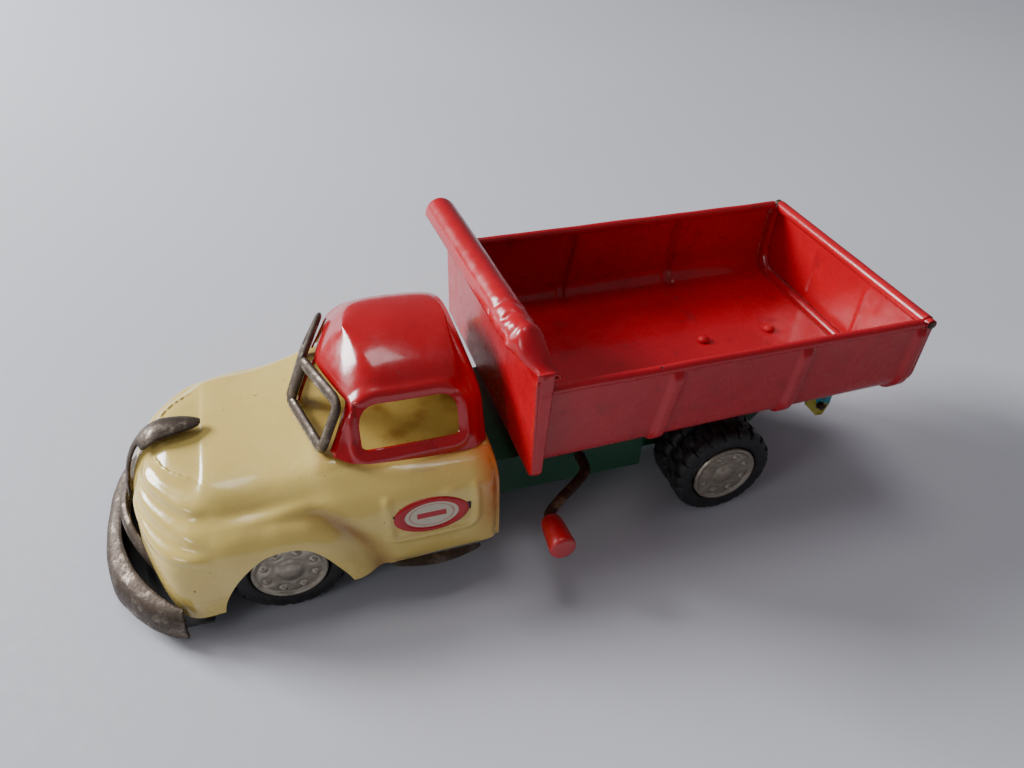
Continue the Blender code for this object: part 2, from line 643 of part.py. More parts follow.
def bed_tub():
    """Press the open bed, with rolled rims, pressed ribs and rivet holes."""
    stations = [-5.4, 10.0]
    for rib in RIB_STATIONS:
        stations += [rib - RIB_HALF_WIDTH, rib - 0.7, rib + 0.7, rib + RIB_HALF_WIDTH]
        stations += [rib + 15.5] if rib < 80 else [BED_REAR]
    rows = [bed_section(y) for y in stations]
    bm = grid_sheet(rows, closed=True)
    bm.verts.ensure_lookup_table()
    count = len(rows[0])
    bm.faces.new([bm.verts[i] for i in range(count)])
    bm.faces.new([bm.verts[len(bm.verts) - count + i] for i in range(count)])
    bmesh.ops.recalc_face_normals(bm, faces=bm.faces)
    part = add_part("bed_tub", bm, RED)
    pin_y, pin_z = TAILGATE_AXIS
    cut(part, cutter("tailgate_corner", block((-40, pin_y - 1.5, pin_z - 1.4), (40, 95, 60))))
    for y in RIVET_STATIONS:
        hole = turned(((0, 40), (1.0, 40), (1.0, 25), (0, 25)), "Z", (0, y, 0), 16, closed=False)
        cut(part, cutter("rivet_hole_%d" % y, hole))


def headboard():
    """Press the headboard: a flat panel, side flanges and a large curl over the cab."""
    panel_z = (30.6, 31.6, 38.0, 46.0, 53.0, 56.0)
    curl = ((0.6, 57.6), (1.7, 59.3), (1.4, 61.2), (0.1, 62.6), (-1.6, 63.3), (-3.2, 62.9), (-4.5, 61.3),
            (-4.9, 59.4))
    half = HEADBOARD_HALF_WIDTH
    columns = [-half, -half, -half + 0.8] + [half * t / 4 for t in range(-3, 4)] + [half - 0.8, half, half]
    last = len(columns) - 1
    rows = []
    for z in panel_z:
        row = []
        for j, x in enumerate(columns):
            y = HEADBOARD_Y + HEADBOARD_SKEW * x
            depth = 2.2 + 1.5 * (z - panel_z[0]) / (panel_z[-1] - panel_z[0])
            edge_rise = 0.9 if j in (1, last - 1) and z == panel_z[0] else 0.0
            if j in (0, last):
                row.append((x, y + depth, max(z, panel_z[1])))
            else:
                row.append((x, y + (0.5 if j in (1, last - 1) else 0.0), z + edge_rise))
        rows.append(row)
    for forward, z in curl:
        row = []
        for j, x in enumerate(columns):
            slide = 2.4 * (x + half) / (2 * half) * min(1.0, (z - 56.0) / 3)
            row.append((x, HEADBOARD_Y + HEADBOARD_SKEW * x + forward + slide, z))
        rows.append(row)
    flat_rows = len(panel_z)
    bm = grid_sheet(rows, skip=lambda i, j: i >= flat_rows - 1 and j in (0, last - 1))
    bmesh.ops.recalc_face_normals(bm, faces=bm.faces)
    panel = max(bm.faces, key=lambda face: face.calc_area())
    if panel.normal.y > 0:
        bmesh.ops.reverse_faces(bm, faces=bm.faces)
    thicken(add_part("headboard", bm, RED), TIN)


def tailgate():
    """Press the tailgate panel with the rolled top edge that it hangs from."""
    pin_y, pin_z = TAILGATE_AXIS
    roll = 1.5
    bore = PIN_RADIUS + BORE_CLEARANCE
    profile = [(pin_y - 0.3, FLOOR_TOP + 0.5), (pin_y + 0.3, FLOOR_TOP + 0.5)]
    for step in range(11):
        angle = radians(-78 + 33.6 * step)
        profile.append((pin_y + roll * cos(angle), pin_z + roll * sin(angle)))
    bm = prism(profile, 0, -TAILGATE_HALF_WIDTH, TAILGATE_HALF_WIDTH)
    part = add_part("tailgate", bm, RED, origin=(0, pin_y, pin_z))
    foot = FLOOR_TOP - 0.2
    for side in (1, -1):
        corner = [(side * 23.8, foot), (side * 30.0, foot), (side * 30.0, foot + 6.2)]
        cut(part, cutter("tailgate_foot_%d" % (side + 1), prism(corner, 1, 80, 95)))
        ends = sorted((side * (TAILGATE_HALF_WIDTH - 4.0), side * (TAILGATE_HALF_WIDTH + 2.0)))
        cut(part, cutter("tailgate_bore_%d" % (side + 1), rod(bore, *ends, TAILGATE_AXIS)))
    for side_name, side in (("left", 1), ("right", -1)):
        ends = sorted((side * (TAILGATE_HALF_WIDTH - 3.4), side * (BED_HALF_WIDTH + 0.7)))
        bm = rod(PIN_RADIUS, *ends, TAILGATE_AXIS, sides=16)
        add_part("tailgate_pin_" + side_name, bm, TARNISHED, origin=(0, pin_y, pin_z))


def hinge_bracket():
    """Make the bracket riveted under the bed, with two pointed ears down to the hinge pin."""
    plate_outline = ((-9, 44), (9, 44), (9, 71.8), (EAR_X, 73.8), (EAR_X, 80.3), (-EAR_X, 80.3),
                     (-EAR_X, 73.8), (-9, 71.8))
    plate = prism(plate_outline, 2, BRACKET_TOP - PLATE, BRACKET_TOP)
    part = add_part("hinge_bracket", plate, PRINTED)
    ear_top = BRACKET_TOP - 0.1
    ear = ((73.8, ear_top), (73.0, 20.0), (77.2, 15.6), (79.2, 15.5), (80.3, 19.0), (80.2, ear_top))
    for side in (1, -1):
        ends = sorted((side * (EAR_X - PLATE), side * (EAR_X - 0.02)))
        cut(part, cutter("ear_%d" % (side + 1), prism(ear, 0, *ends)), "UNION")
    cut(part, cutter("bracket_bore", rod(PIN_RADIUS + BORE_CLEARANCE, -30, 30, HINGE_AXIS)))
    for y in RIVET_STATIONS:
        hole = turned(((0, 40), (1.0, 40), (1.0, 25), (0, 25)), "Z", (0, y, 0), 16, closed=False)
        cut(part, cutter("bracket_rivet_hole_%d" % y, hole))


def hinge_hardware():
    """Add the hinge pin and the two domed rivets in the bed's floor."""
    reach = EAR_X + 1.2
    add_part("hinge_pin", rod(PIN_RADIUS, -reach, reach, HINGE_AXIS), STEEL, origin=(0, *HINGE_AXIS))
    head = FLOOR_TOP + GAP
    tail = BRACKET_TOP - PLATE - GAP
    profile = ((0.0, head + 1.1), (0.8, head + 0.95), (1.4, head + 0.5), (1.6, head), (0.7, head),
               (0.7, tail), (1.3, tail), (1.1, tail - 0.8), (0.0, tail - 0.8))
    for name, y in zip(("front", "rear"), RIVET_STATIONS):
        bm = turned(profile, "Z", (0, y, 0), 16, closed=False)
        add_part("bed_rivet_" + name, bm, RED, origin=(0, y, head))


def crank():
    """Bend the crank from one wire, with a throw inside the chassis and an arm to the grip."""
    y, z = CRANK_AXIS
    grip_y, grip_z = GRIP_AXIS
    posts = ((-20.5, y, z), (-14, y, z), (-6.0, y, z), (-4.0, y, z - 1.5), (-3.6, y, z - 5.5),
             (-2.0, y, z - 7.0), (2.0, y, z - 7.0), (3.6, y, z - 5.5), (4.0, y, z - 1.5), (6.0, y, z),
             (14, y, z), (21.0, y, z), (23.6, y - 1.3, z + 0.3), (26.3, y - 4.4, z + 0.5),
             (29.4, y - 9.0, z + 0.1), (31.2, grip_y + 0.9, grip_z + 0.4), (33.0, grip_y, grip_z),
             (39.0, grip_y, grip_z))
    path = smooth_path(posts, 3)
    curve = bpy.data.curves.new("crank_wire", "CURVE")
    curve.dimensions = "3D"
    curve.bevel_depth = WIRE_RADIUS * MM
    curve.bevel_resolution = 2
    curve.use_fill_caps = True
    spline = curve.splines.new("POLY")
    spline.points.add(len(path) - 1)
    origin = Vector((0.0, y, z))
    for point, place in zip(spline.points, path):
        point.co = (*((place - origin) * MM), 1.0)
    wire = bpy.data.objects.new("crank_wire", curve)
    PARTS.objects.link(wire)
    graph = bpy.context.evaluated_depsgraph_get()
    mesh = bpy.data.meshes.new_from_object(wire.evaluated_get(graph))
    bpy.data.objects.remove(wire, do_unlink=True)
    bm = bmesh.new()
    bm.from_mesh(mesh)
    bmesh.ops.remove_doubles(bm, verts=bm.verts, dist=0.01 * MM)
    bmesh.ops.recalc_face_normals(bm, faces=bm.faces)
    bmesh.ops.scale(bm, vec=(1 / MM, 1 / MM, 1 / MM), verts=bm.verts)
    bmesh.ops.translate(bm, vec=origin, verts=bm.verts)
    add_part("crank_shaft", bm, STEEL, origin=origin)

    bore = WIRE_RADIUS + GAP
    profile = ((0.0, 42.0), (2.2, 41.8), (GRIP_RADIUS, 41.0), (GRIP_RADIUS - 0.3, 36.0),
               (GRIP_RADIUS - 0.7, 33.4), (bore + 0.4, 33.2), (bore, 33.3), (bore, 39.6), (0.0, 39.6))
    bm = turned(profile, "X", (0.0, grip_y, grip_z), 20, closed=False)
    add_part("crank_grip", bm, GRIP_RED, origin=(37.0, grip_y, grip_z))


def build_truck():
    """Build every part of the truck."""
    chassis()
    front_apron()
    wheel_sets()
    cab_body()
    cab_roof()
    windscreen_frame()
    bonnet_ornament()
    grille_bar()
    bumper()
    side_trim()
    bed_tub()
    headboard()
    tailgate()
    hinge_bracket()
    hinge_hardware()
    crank()


build_truck()
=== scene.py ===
"""Looks of the pressed-tin toy dump truck: fine skins, finishes, studio and camera.

The truck stands on the floor with its front towards -Y and its crank on +X. Shapes are drawn in
millimetres from a datum on the truck's centre plane, and shifted into the frame at the end.
"""
import logging
from dataclasses import dataclass
from enum import Enum
from math import cos, exp, hypot, pi, radians, sin, sqrt
from typing import Callable, Iterable, Sequence

import bmesh
import bpy
import numpy as np
from mathutils import Matrix, Vector, noise

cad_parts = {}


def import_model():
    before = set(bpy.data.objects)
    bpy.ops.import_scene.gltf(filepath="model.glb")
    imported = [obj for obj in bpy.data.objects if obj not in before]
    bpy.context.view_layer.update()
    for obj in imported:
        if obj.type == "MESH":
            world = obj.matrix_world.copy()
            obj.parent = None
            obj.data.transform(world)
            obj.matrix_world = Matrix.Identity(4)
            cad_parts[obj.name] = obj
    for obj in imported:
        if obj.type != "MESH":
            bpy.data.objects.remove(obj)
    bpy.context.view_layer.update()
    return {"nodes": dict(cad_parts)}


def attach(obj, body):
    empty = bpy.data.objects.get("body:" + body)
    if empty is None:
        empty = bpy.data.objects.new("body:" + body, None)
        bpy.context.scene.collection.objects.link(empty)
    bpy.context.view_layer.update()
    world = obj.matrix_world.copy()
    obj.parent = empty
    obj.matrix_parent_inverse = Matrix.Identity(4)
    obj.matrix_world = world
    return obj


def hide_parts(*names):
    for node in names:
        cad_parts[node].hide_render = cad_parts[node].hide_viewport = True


LOG = logging.getLogger("dump_truck")
MM = 0.001
SHARP_ANGLE = radians(50)
WELD_GAP = 0.002
TURNED_WELD_GAP = 0.001
SLIVER = 0.0005
FRONT_AXLE_Y = -57.03
REAR_AXLE_Y = 45.69
DATUM_SHIFT = Vector((-4.35, 3.85, 0.0))
Place = Callable[[float, float], Vector]
Relief = Callable[[Vector], float]


class Side(Enum):
    """The two sides of the truck; the value is the sign of X."""

    LEFT = 1
    RIGHT = -1

    @property
    def word(self) -> str:
        """Name of the side as the nodes spell it."""
        return self.name.lower()


# ---------------------------------------------------------------- shape tools

def glide(value: float, low: float, high: float) -> float:
    """Ease from 0 at low to 1 at high.

    Args:
        value: where to read the ease.
        low: value that gives 0.
        high: value that gives 1; it may be less than low.

    Returns:
        A number from 0 to 1.
    """
    t = min(1.0, max(0.0, (value - low) / (high - low)))
    return t * t * (3 - 2 * t)


def bell(distance: float, width: float) -> float:
    """Return a smooth bump that is 1 at distance 0 and falls off over width."""
    return exp(-(distance / width) ** 2)


def spline(posts: Sequence[Sequence[float]], samples: np.ndarray) -> np.ndarray:
    """Read a smooth curve that runs through every post.

    Args:
        posts: the points, as rows of any length.
        samples: where to read it, 0 at the first post and 1 at the last.

    Returns:
        One row per sample.
    """
    points = np.asarray(posts, float)
    padded = np.vstack((2 * points[0] - points[1], points, 2 * points[-1] - points[-2]))
    place = np.clip(samples, 0, 1) * (len(points) - 1)
    cell = np.minimum(place.astype(int), len(points) - 2)
    t = (place - cell)[:, None]
    a, b, c, d = (padded[cell + k] for k in range(4))
    square = (2 * a - 5 * b + 4 * c - d) * t ** 2
    cube = (3 * b - a - 3 * c + d) * t ** 3
    return 0.5 * (2 * b + (c - a) * t + square + cube)


def rounded_outline(corners: Sequence[Sequence[float]], radii: Sequence[float],
                    steps: int = 10) -> list[Vector]:
    """Round off each corner of a flat outline with its own radius.

    Args:
        corners: the outline's corners, in order.
        radii: how far each corner's curve reaches along its edges.
        steps: spans in each curve.

    Returns:
        The rounded outline.
    """
    outline = []
    for i, radius in enumerate(radii):
        corner = Vector(corners[i])
        start = corner + (Vector(corners[i - 1]) - corner).normalized() * radius
        end = corner + (Vector(corners[(i + 1) % len(corners)]) - corner).normalized() * radius
        for step in range(steps + 1):
            t = step / steps
            outline.append(start * (1 - t) ** 2 + corner * 2 * t * (1 - t) + end * t ** 2)
    return outline


def read_soft(value: float, stations: Sequence[float], heights: Sequence[float], reach: float) -> float:
    """Read a broken line with its corners rounded off.

    Args:
        value: where to read the line.
        stations: where its posts stand.
        heights: the value at each post.
        reach: how far to each side the line is averaged.

    Returns:
        The line's value.
    """
    return float(np.mean(np.interp(value + np.linspace(-reach, reach, 15), stations, heights)))


def distance_to(outline: Sequence[Vector], y: float, z: float, closed: bool = True) -> float:
    """Measure from a point to a flat outline.

    Args:
        outline: the outline's points.
        y: the point's first coordinate.
        z: the point's second coordinate.
        closed: whether the last point joins the first.

    Returns:
        The shortest distance.
    """
    best = 1e9
    count = len(outline)
    for i in range(count if closed else count - 1):
        ay, az = outline[i][0], outline[i][1]
        by, bz = outline[(i + 1) % count][0] - ay, outline[(i + 1) % count][1] - az
        long = by * by + bz * bz
        t = 0.0 if long == 0 else min(1.0, max(0.0, ((y - ay) * by + (z - az) * bz) / long))
        best = min(best, hypot(y - ay - t * by, z - az - t * bz))
    return best


def sheet(columns: int, rows: int, place: Place) -> bmesh.types.BMesh:
    """Lay a grid over a surface.

    Args:
        columns: cells along u.
        rows: cells along v.
        place: gives the point at (u, v), both from 0 to 1.

    Returns:
        The welded sheet, normals made consistent.
    """
    bm = bmesh.new()
    bmesh.ops.create_grid(bm, x_segments=columns, y_segments=rows, size=0.5)
    for vert in bm.verts:
        vert.co = place(vert.co.x + 0.5, vert.co.y + 0.5)
    bmesh.ops.remove_doubles(bm, verts=bm.verts, dist=WELD_GAP)
    bmesh.ops.dissolve_degenerate(bm, edges=bm.edges, dist=SLIVER)
    bmesh.ops.recalc_face_normals(bm, faces=bm.faces)
    return bm


def face_towards(bm: bmesh.types.BMesh, direction: Vector) -> None:
    """Turn the sheet over if most of its area looks away from a direction."""
    if sum(face.normal.dot(direction) * face.calc_area() for face in bm.faces) < 0:
        bmesh.ops.reverse_faces(bm, faces=bm.faces)


def press(bm: bmesh.types.BMesh, relief: Relief) -> None:
    """Press a relief into a sheet along its normals."""
    bm.normal_update()
    moves = [vert.normal * relief(vert.co) for vert in bm.verts]
    for vert, move in zip(bm.verts, moves):
        vert.co += move


def turn(profile: Sequence[tuple[float, float]], centre: Vector, axis: Vector,
         sides: int) -> bmesh.types.BMesh:
    """Spin a profile of (radius, along) points about an axis.

    Args:
        profile: the points, from one end of the piece to the other.
        centre: a point on the axis.
        axis: the axis, along X or Z.
        sides: how many steps the full turn takes.

    Returns:
        The welded turned piece.
    """
    out = Vector((0, 0, 1)) if axis.x else Vector((1, 0, 0))
    bm = bmesh.new()
    verts = [bm.verts.new(centre + out * radius + axis * along) for radius, along in profile]
    edges = [bm.edges.new(pair) for pair in zip(verts, verts[1:])]
    bmesh.ops.spin(bm, geom=verts + edges, cent=centre, axis=axis, angle=2 * pi, steps=sides, use_merge=True)
    bmesh.ops.remove_doubles(bm, verts=bm.verts, dist=TURNED_WELD_GAP)
    bmesh.ops.recalc_face_normals(bm, faces=bm.faces)
    return bm


def loft(rings: np.ndarray, up_rows: int) -> np.ndarray:
    """Run smooth curves up through a stack of rings, and return them row by row."""
    skin = spline(rings.reshape(len(rings), -1), np.linspace(0, 1, up_rows + 1))
    return skin.reshape(up_rows + 1, rings.shape[1], 3)


def shell(skin: np.ndarray, lid_rows: int, crown: Callable[[float], float]) -> bmesh.types.BMesh:
    """Mirror a half wall and close its top with a crowned lid.

    Args:
        skin: the wall's points on the +X side, row by row.
        lid_rows: rows from the wall's top to the centre line.
        crown: gives the lid's rise at a place along Y.

    Returns:
        The sheet, facing up.
    """
    up_rows = len(skin) - 1
    around = skin.shape[1] - 1
    rows = up_rows + lid_rows

    def place(u: float, v: float) -> Vector:
        """Return the point at (u, v) of the wall, then of the lid."""
        turned = round(u * 2 * around)
        column = turned if turned <= around else 2 * around - turned
        row = round(v * rows)
        x, y, z = skin[min(row, up_rows)][column]
        shrink = max(0, row - up_rows) / lid_rows
        rise = crown(y) * (1 - (1 - shrink) ** 2)
        sign = 1 if turned <= around else -1
        return Vector((sign * x * (1 - shrink), y, z + rise))

    bm = sheet(2 * around, rows, place)
    face_towards(bm, Vector((0, 0, 1)))
    return bm


def soften(bm: bmesh.types.BMesh, levels: Sequence[float], factor: float) -> None:
    """Smooth what lies above each level in turn, so that the smoothing fades out downwards."""
    for level in levels:
        above = [vert for vert in bm.verts if vert.co.z > level]
        bmesh.ops.smooth_vert(bm, verts=above, factor=factor, use_axis_x=True, use_axis_y=True,
                              use_axis_z=True)


def place_drawing(name: str, bm: bmesh.types.BMesh) -> bpy.types.Object:
    """Make an object from a drawing in millimetres, which is shifted into the frame and used up."""
    bmesh.ops.translate(bm, vec=DATUM_SHIFT, verts=bm.verts)
    bmesh.ops.scale(bm, vec=(MM, MM, MM), verts=bm.verts)
    mesh = bpy.data.meshes.new(name)
    bm.to_mesh(mesh)
    bm.free()
    piece = bpy.data.objects.new(name, mesh)
    bpy.context.scene.collection.objects.link(piece)
    return piece


def make_piece(name: str, bm: bmesh.types.BMesh, finishes: Sequence[bpy.types.Material], body: str,
               nodes: Sequence[str]) -> bpy.types.Object:
    """Make a finished piece from a drawing in millimetres, and let it ride and stand for its nodes.

    Args:
        name: the piece's name.
        bm: its drawing, which is used up.
        finishes: its materials.
        body: the CAD body that it rides on.
        nodes: the CAD nodes that it stands for.

    Returns:
        The piece.
    """
    piece = place_drawing(name, bm)
    mesh = piece.data
    for finish in finishes:
        mesh.materials.append(finish)
    mesh.shade_smooth()
    mesh.set_sharp_from_angle(angle=SHARP_ANGLE)
    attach(piece, body)
    if nodes:
        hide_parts(*nodes)
    LOG.info("%s: %d faces", name, len(mesh.polygons))
    return piece


def thicken(piece: bpy.types.Object, thickness: float, offset: float = -1.0, inner_slot: int = 0) -> None:
    """Give a sheet its wall.

    Args:
        piece: the sheet.
        thickness: the wall in millimetres.
        offset: -1 grows the wall inwards and 1 outwards.
        inner_slot: which of the piece's materials the inside takes.
    """
    wall = piece.modifiers.new("wall", "SOLIDIFY")
    wall.thickness = thickness * MM
    wall.offset = offset
    wall.use_even_offset = False
    wall.material_offset = inner_slot


def carve(piece: bpy.types.Object, outline: Sequence[Vector], axis: int, start: float, end: float) -> None:
    """Cut a prism out of a piece for good.

    Args:
        piece: the piece, whose wall and cut are both applied.
        outline: the opening's flat outline in the other two axes.
        axis: the axis the prism runs along.
        start: where it starts on that axis.
        end: where it ends.
    """
    others = [i for i in range(3) if i != axis]
    bm = bmesh.new()
    verts = []
    for point in outline:
        place = Vector((0.0, 0.0, 0.0))
        place[axis] = start
        place[others[0]], place[others[1]] = point[0], point[1]
        verts.append(bm.verts.new(place))
    bmesh.ops.contextual_create(bm, geom=verts)
    grown = bmesh.ops.extrude_face_region(bm, geom=list(bm.faces))
    run = Vector((0.0, 0.0, 0.0))
    run[axis] = end - start
    bmesh.ops.translate(bm, vec=run, verts=[g for g in grown["geom"] if isinstance(g, bmesh.types.BMVert)])
    bmesh.ops.recalc_face_normals(bm, faces=bm.faces)
    tool = place_drawing("opening", bm)
    cut = piece.modifiers.new("opening", "BOOLEAN")
    cut.operation = "DIFFERENCE"
    cut.solver = "EXACT"
    cut.object = tool
    settle(piece)
    bpy.data.objects.remove(tool, do_unlink=True)


def settle(piece: bpy.types.Object) -> None:
    """Apply a piece's modifiers to its mesh."""
    bpy.context.view_layer.update()
    graph = bpy.context.evaluated_depsgraph_get()
    mesh = bpy.data.meshes.new_from_object(piece.evaluated_get(graph))
    piece.modifiers.clear()
    piece.data = mesh
    mesh.set_sharp_from_angle(angle=SHARP_ANGLE)


# ---------------------------------------------------------------- finishes

class Wiring:
    """A material's node tree while it is being wired; positions are the truck's own millimetres."""

    def __init__(self, name: str) -> None:
        """Start a material whose patterns read Object coordinates."""
        self.material = bpy.data.materials.new(name)
        self.material.use_nodes = True
        self.tree = self.material.node_tree
        self.shader = self.tree.nodes["Principled BSDF"]
        coordinates = self.tree.nodes.new("ShaderNodeTexCoord").outputs["Object"]
        scaled = self.tree.nodes.new("ShaderNodeVectorMath")
        scaled.operation = "MULTIPLY_ADD"
        self.tree.links.new(coordinates, scaled.inputs[0])
        scaled.inputs[1].default_value = (1000, 1000, 1000)
        scaled.inputs[2].default_value = -DATUM_SHIFT
        self.place = scaled.outputs[0]
        split = self.tree.nodes.new("ShaderNodeSeparateXYZ")
        self.tree.links.new(self.place, split.inputs[0])
        self.x, self.y, self.z = split.outputs

    def feed(self, value: object, socket: bpy.types.NodeSocket) -> None:
        """Link a socket, or set a plain value."""
        if isinstance(value, bpy.types.NodeSocket):
            self.tree.links.new(value, socket)
        elif isinstance(value, tuple) and len(value) == 3 and socket.type == "RGBA":
            socket.default_value = (*value, 1.0)
        else:
            socket.default_value = value

    def math(self, operation: str, first: object, second: object = 0.0) -> bpy.types.NodeSocket:
        """Add one sum, product or comparison."""
        node = self.tree.nodes.new("ShaderNodeMath")
        node.operation = operation
        self.feed(first, node.inputs[0])
        self.feed(second, node.inputs[1])
        return node.outputs[0]

    def times(self, first: object, second: object) -> bpy.types.NodeSocket:
        """Multiply two values."""
        return self.math("MULTIPLY", first, second)

    def plus(self, first: object, second: object) -> bpy.types.NodeSocket:
        """Add two values."""
        return self.math("ADD", first, second)

    def larger(self, first: object, second: object) -> bpy.types.NodeSocket:
        """Take the larger of two values."""
        return self.math("MAXIMUM", first, second)

    def length(self, first: object, second: object) -> bpy.types.NodeSocket:
        """Return the length of a flat vector."""
        return self.math("SQRT", self.plus(self.times(first, first), self.times(second, second)))

    def fade(self, value: object, low: float, high: float, top: float = 1.0) -> bpy.types.NodeSocket:
        """Ease a value from 0 at low to top at high."""
        node = self.tree.nodes.new("ShaderNodeMapRange")
        node.interpolation_type = "SMOOTHSTEP"
        self.feed(value, node.inputs["Value"])
        ends = sorted(((low, 0.0), (high, top)))
        for end, (at, level) in zip(("Min", "Max"), ends):
            node.inputs["From " + end].default_value = at
            node.inputs["To " + end].default_value = level
        return node.outputs[0]

    def cloud(self, per_mm: float, detail: float = 3.0, stretch: Sequence[float] = (1, 1, 1),
              shift: float = 0.0) -> bpy.types.NodeSocket:
        """Add a noise with a given number of blotches to a millimetre."""
        mapping = self.tree.nodes.new("ShaderNodeMapping")
        self.tree.links.new(self.place, mapping.inputs["Vector"])
        mapping.inputs["Scale"].default_value = [per_mm * s for s in stretch]
        mapping.inputs["Location"].default_value = (shift, shift * 0.7, -shift)
        node = self.tree.nodes.new("ShaderNodeTexNoise")
        self.tree.links.new(mapping.outputs[0], node.inputs["Vector"])
        node.inputs["Scale"].default_value = 1.0
        node.inputs["Detail"].default_value = detail
        return node.outputs["Fac"]

    def flecks(self, per_mm: float, size: float, share: float) -> bpy.types.NodeSocket:
        """Scatter small round flecks over a share of the surface."""
        node = self.tree.nodes.new("ShaderNodeTexVoronoi")
        self.tree.links.new(self.place, node.inputs["Vector"])
        node.inputs["Scale"].default_value = per_mm
        dots = self.fade(node.outputs["Distance"], size, size * 0.6)
        return self.times(dots, self.fade(self.cloud(0.09, 2.0, shift=31.0), 1 - share, 1.02 - share))

    def blend(self, share: object, first: object, second: object) -> bpy.types.NodeSocket:
        """Mix two colours."""
        node = self.tree.nodes.new("ShaderNodeMix")
        node.data_type = "RGBA"
        self.feed(share, node.inputs[0])
        self.feed(first, node.inputs[6])
        self.feed(second, node.inputs[7])
        return node.outputs[2]

    def bump(self, height: bpy.types.NodeSocket, depth: float) -> None:
        """Add a bump of a given depth in millimetres."""
        node = self.tree.nodes.new("ShaderNodeBump")
        node.inputs["Strength"].default_value = 1.0
        node.inputs["Distance"].default_value = depth * MM
        self.tree.links.new(height, node.inputs["Height"])
        self.tree.links.new(node.outputs[0], self.shader.inputs["Normal"])

    def finish(self, colour: object, roughness: object, metallic: object = 0.0) -> bpy.types.Material:
        """Feed the shader and hand over the material."""
        self.feed(colour, self.shader.inputs["Base Color"])
        self.feed(roughness, self.shader.inputs["Roughness"])
        self.feed(metallic, self.shader.inputs["Metallic"])
        return self.material


@dataclass(frozen=True)
class Enamel:
    """Gloss enamel on tin: slight mottling, grime, flecks, fine scratches and chips."""

    name: str
    colour: tuple[float, float, float]
    shade: tuple[float, float, float]
    grime: tuple[float, float, float] = (0.03, 0.02, 0.015)
    grime_share: float = 0.25
    fleck_share: float = 0.35
    gloss: float = 0.2
    coat: float = 0.5

    def coats(self, wiring: Wiring, base: object) -> bpy.types.Material:
        """Lay wear over a base colour.

        Args:
            wiring: the material being wired.
            base: the colour under the wear.

        Returns:
            The finished material.
        """
        mottled = wiring.blend(wiring.fade(wiring.cloud(0.07, 4.0), 0.35, 0.75, 0.55), base, self.shade)
        stain = wiring.times(wiring.fade(wiring.cloud(0.16, 6.0, shift=7.0), 0.56, 0.8), self.grime_share)
        stained = wiring.blend(stain, mottled, self.grime)
        scratch = wiring.times(wiring.fade(wiring.cloud(1.0, 2.0, (0.5, 0.05, 3.2), 3.0), 0.70, 0.76, 0.5),
                               wiring.fade(wiring.cloud(0.06, 2.0, shift=19.0), 0.5, 0.65))
        flecks = wiring.flecks(0.55, 0.2, self.fleck_share)
        chips = wiring.times(wiring.fade(wiring.cloud(0.9, 5.0, shift=5.0), 0.69, 0.71),
                             wiring.fade(wiring.cloud(0.05, 2.0, shift=11.0), 0.56, 0.66))
        worn = wiring.larger(wiring.larger(flecks, scratch), chips)
        colour = wiring.blend(worn, stained, self.grime)
        rough = wiring.plus(wiring.fade(wiring.cloud(0.25, 4.0, shift=2.0), 0.3, 0.8, 0.16), self.gloss)
        rough = wiring.plus(rough, wiring.times(wiring.larger(worn, stain), 0.35))
        waves = wiring.times(wiring.cloud(0.5, 2.0, shift=13.0), 0.35)
        height = wiring.math("SUBTRACT", waves, wiring.times(worn, 0.25))
        wiring.bump(height, 0.12)
        wiring.shader.inputs["Coat Weight"].default_value = self.coat
        wiring.shader.inputs["Coat Roughness"].default_value = 0.08
        return wiring.finish(colour, rough)

    def material(self) -> bpy.types.Material:
        """Make the plain enamel."""
        wiring = Wiring(self.name)
        wide = wiring.fade(wiring.cloud(0.02, 2.0, shift=4.0), 0.4, 0.7, 0.4)
        wide = wiring.blend(wide, self.colour, self.shade)
        return self.coats(wiring, wide)


@dataclass(frozen=True)
class CabEnamel(Enamel):
    """Cream enamel with orange airbrushed fades, deepened by painted shade in the grooves behind the fenders,
    and a plate under the roof painted gold and dark with painted shade and grime.
    """

    fade_colour: tuple[float, float, float] = (0.62, 0.13, 0.012)
    # dark tone: painted shade deepening the airbrushed fade in the groove behind each fender, and painted
    # shade with grime on the plate under the roof
    soot: tuple[float, float, float] = (0.30, 0.13, 0.022)
    # gold tone here: the cream plate under the roof painted gold as painted shade, with blotches of grime
    lacquer: tuple[float, float, float] = (0.62, 0.45, 0.12)

    def material(self) -> bpy.types.Material:
        """Make the cream enamel with its fades, the painted shade in the fender grooves and the painted shade
        on the plate under the roof.
        """
        wiring = Wiring(self.name)
        rear = wiring.times(wiring.fade(wiring.y, -18.5, -12.6, 0.95), wiring.fade(wiring.z, 9.0, 25.0))
        # ring band round each arch, behind the fender and in its pressed groove: an airbrushed fade darkened
        # with painted shade
        across = wiring.math("SUBTRACT", wiring.y, -57.5)
        up = wiring.math("SUBTRACT", wiring.z, 8.5)
        ring = wiring.length(across, up)
        band = wiring.times(wiring.fade(ring, 16.0, 19.4), wiring.fade(ring, 23.5, 19.4))
        behind = wiring.times(band, wiring.fade(wiring.y, -58.0, -46.0, 0.95))
        behind = wiring.times(behind, wiring.fade(wiring.z, 29.5, 25.5))
        faded = wiring.blend(rear, self.colour, self.fade_colour)
        # the dark tone over the groove band is painted shade on the airbrushed fade
        faded = wiring.blend(behind, faded, self.soot)
        # the plate under the roof: cream turned gold and dark, painted shade under the roof mixed with grime
        # blotches
        under = wiring.times(wiring.fade(wiring.y, -50.5, -45.0), wiring.fade(wiring.z, 31.6, 32.4))
        under = wiring.times(under, wiring.fade(wiring.math("ABSOLUTE", wiring.x), 22.6, 21.6))
        plate = wiring.fade(wiring.cloud(0.12, 5.0, shift=23.0), 0.45, 0.75)
        plate = wiring.blend(plate, self.lacquer, self.soot)
        return self.coats(wiring, wiring.blend(under, faded, plate))


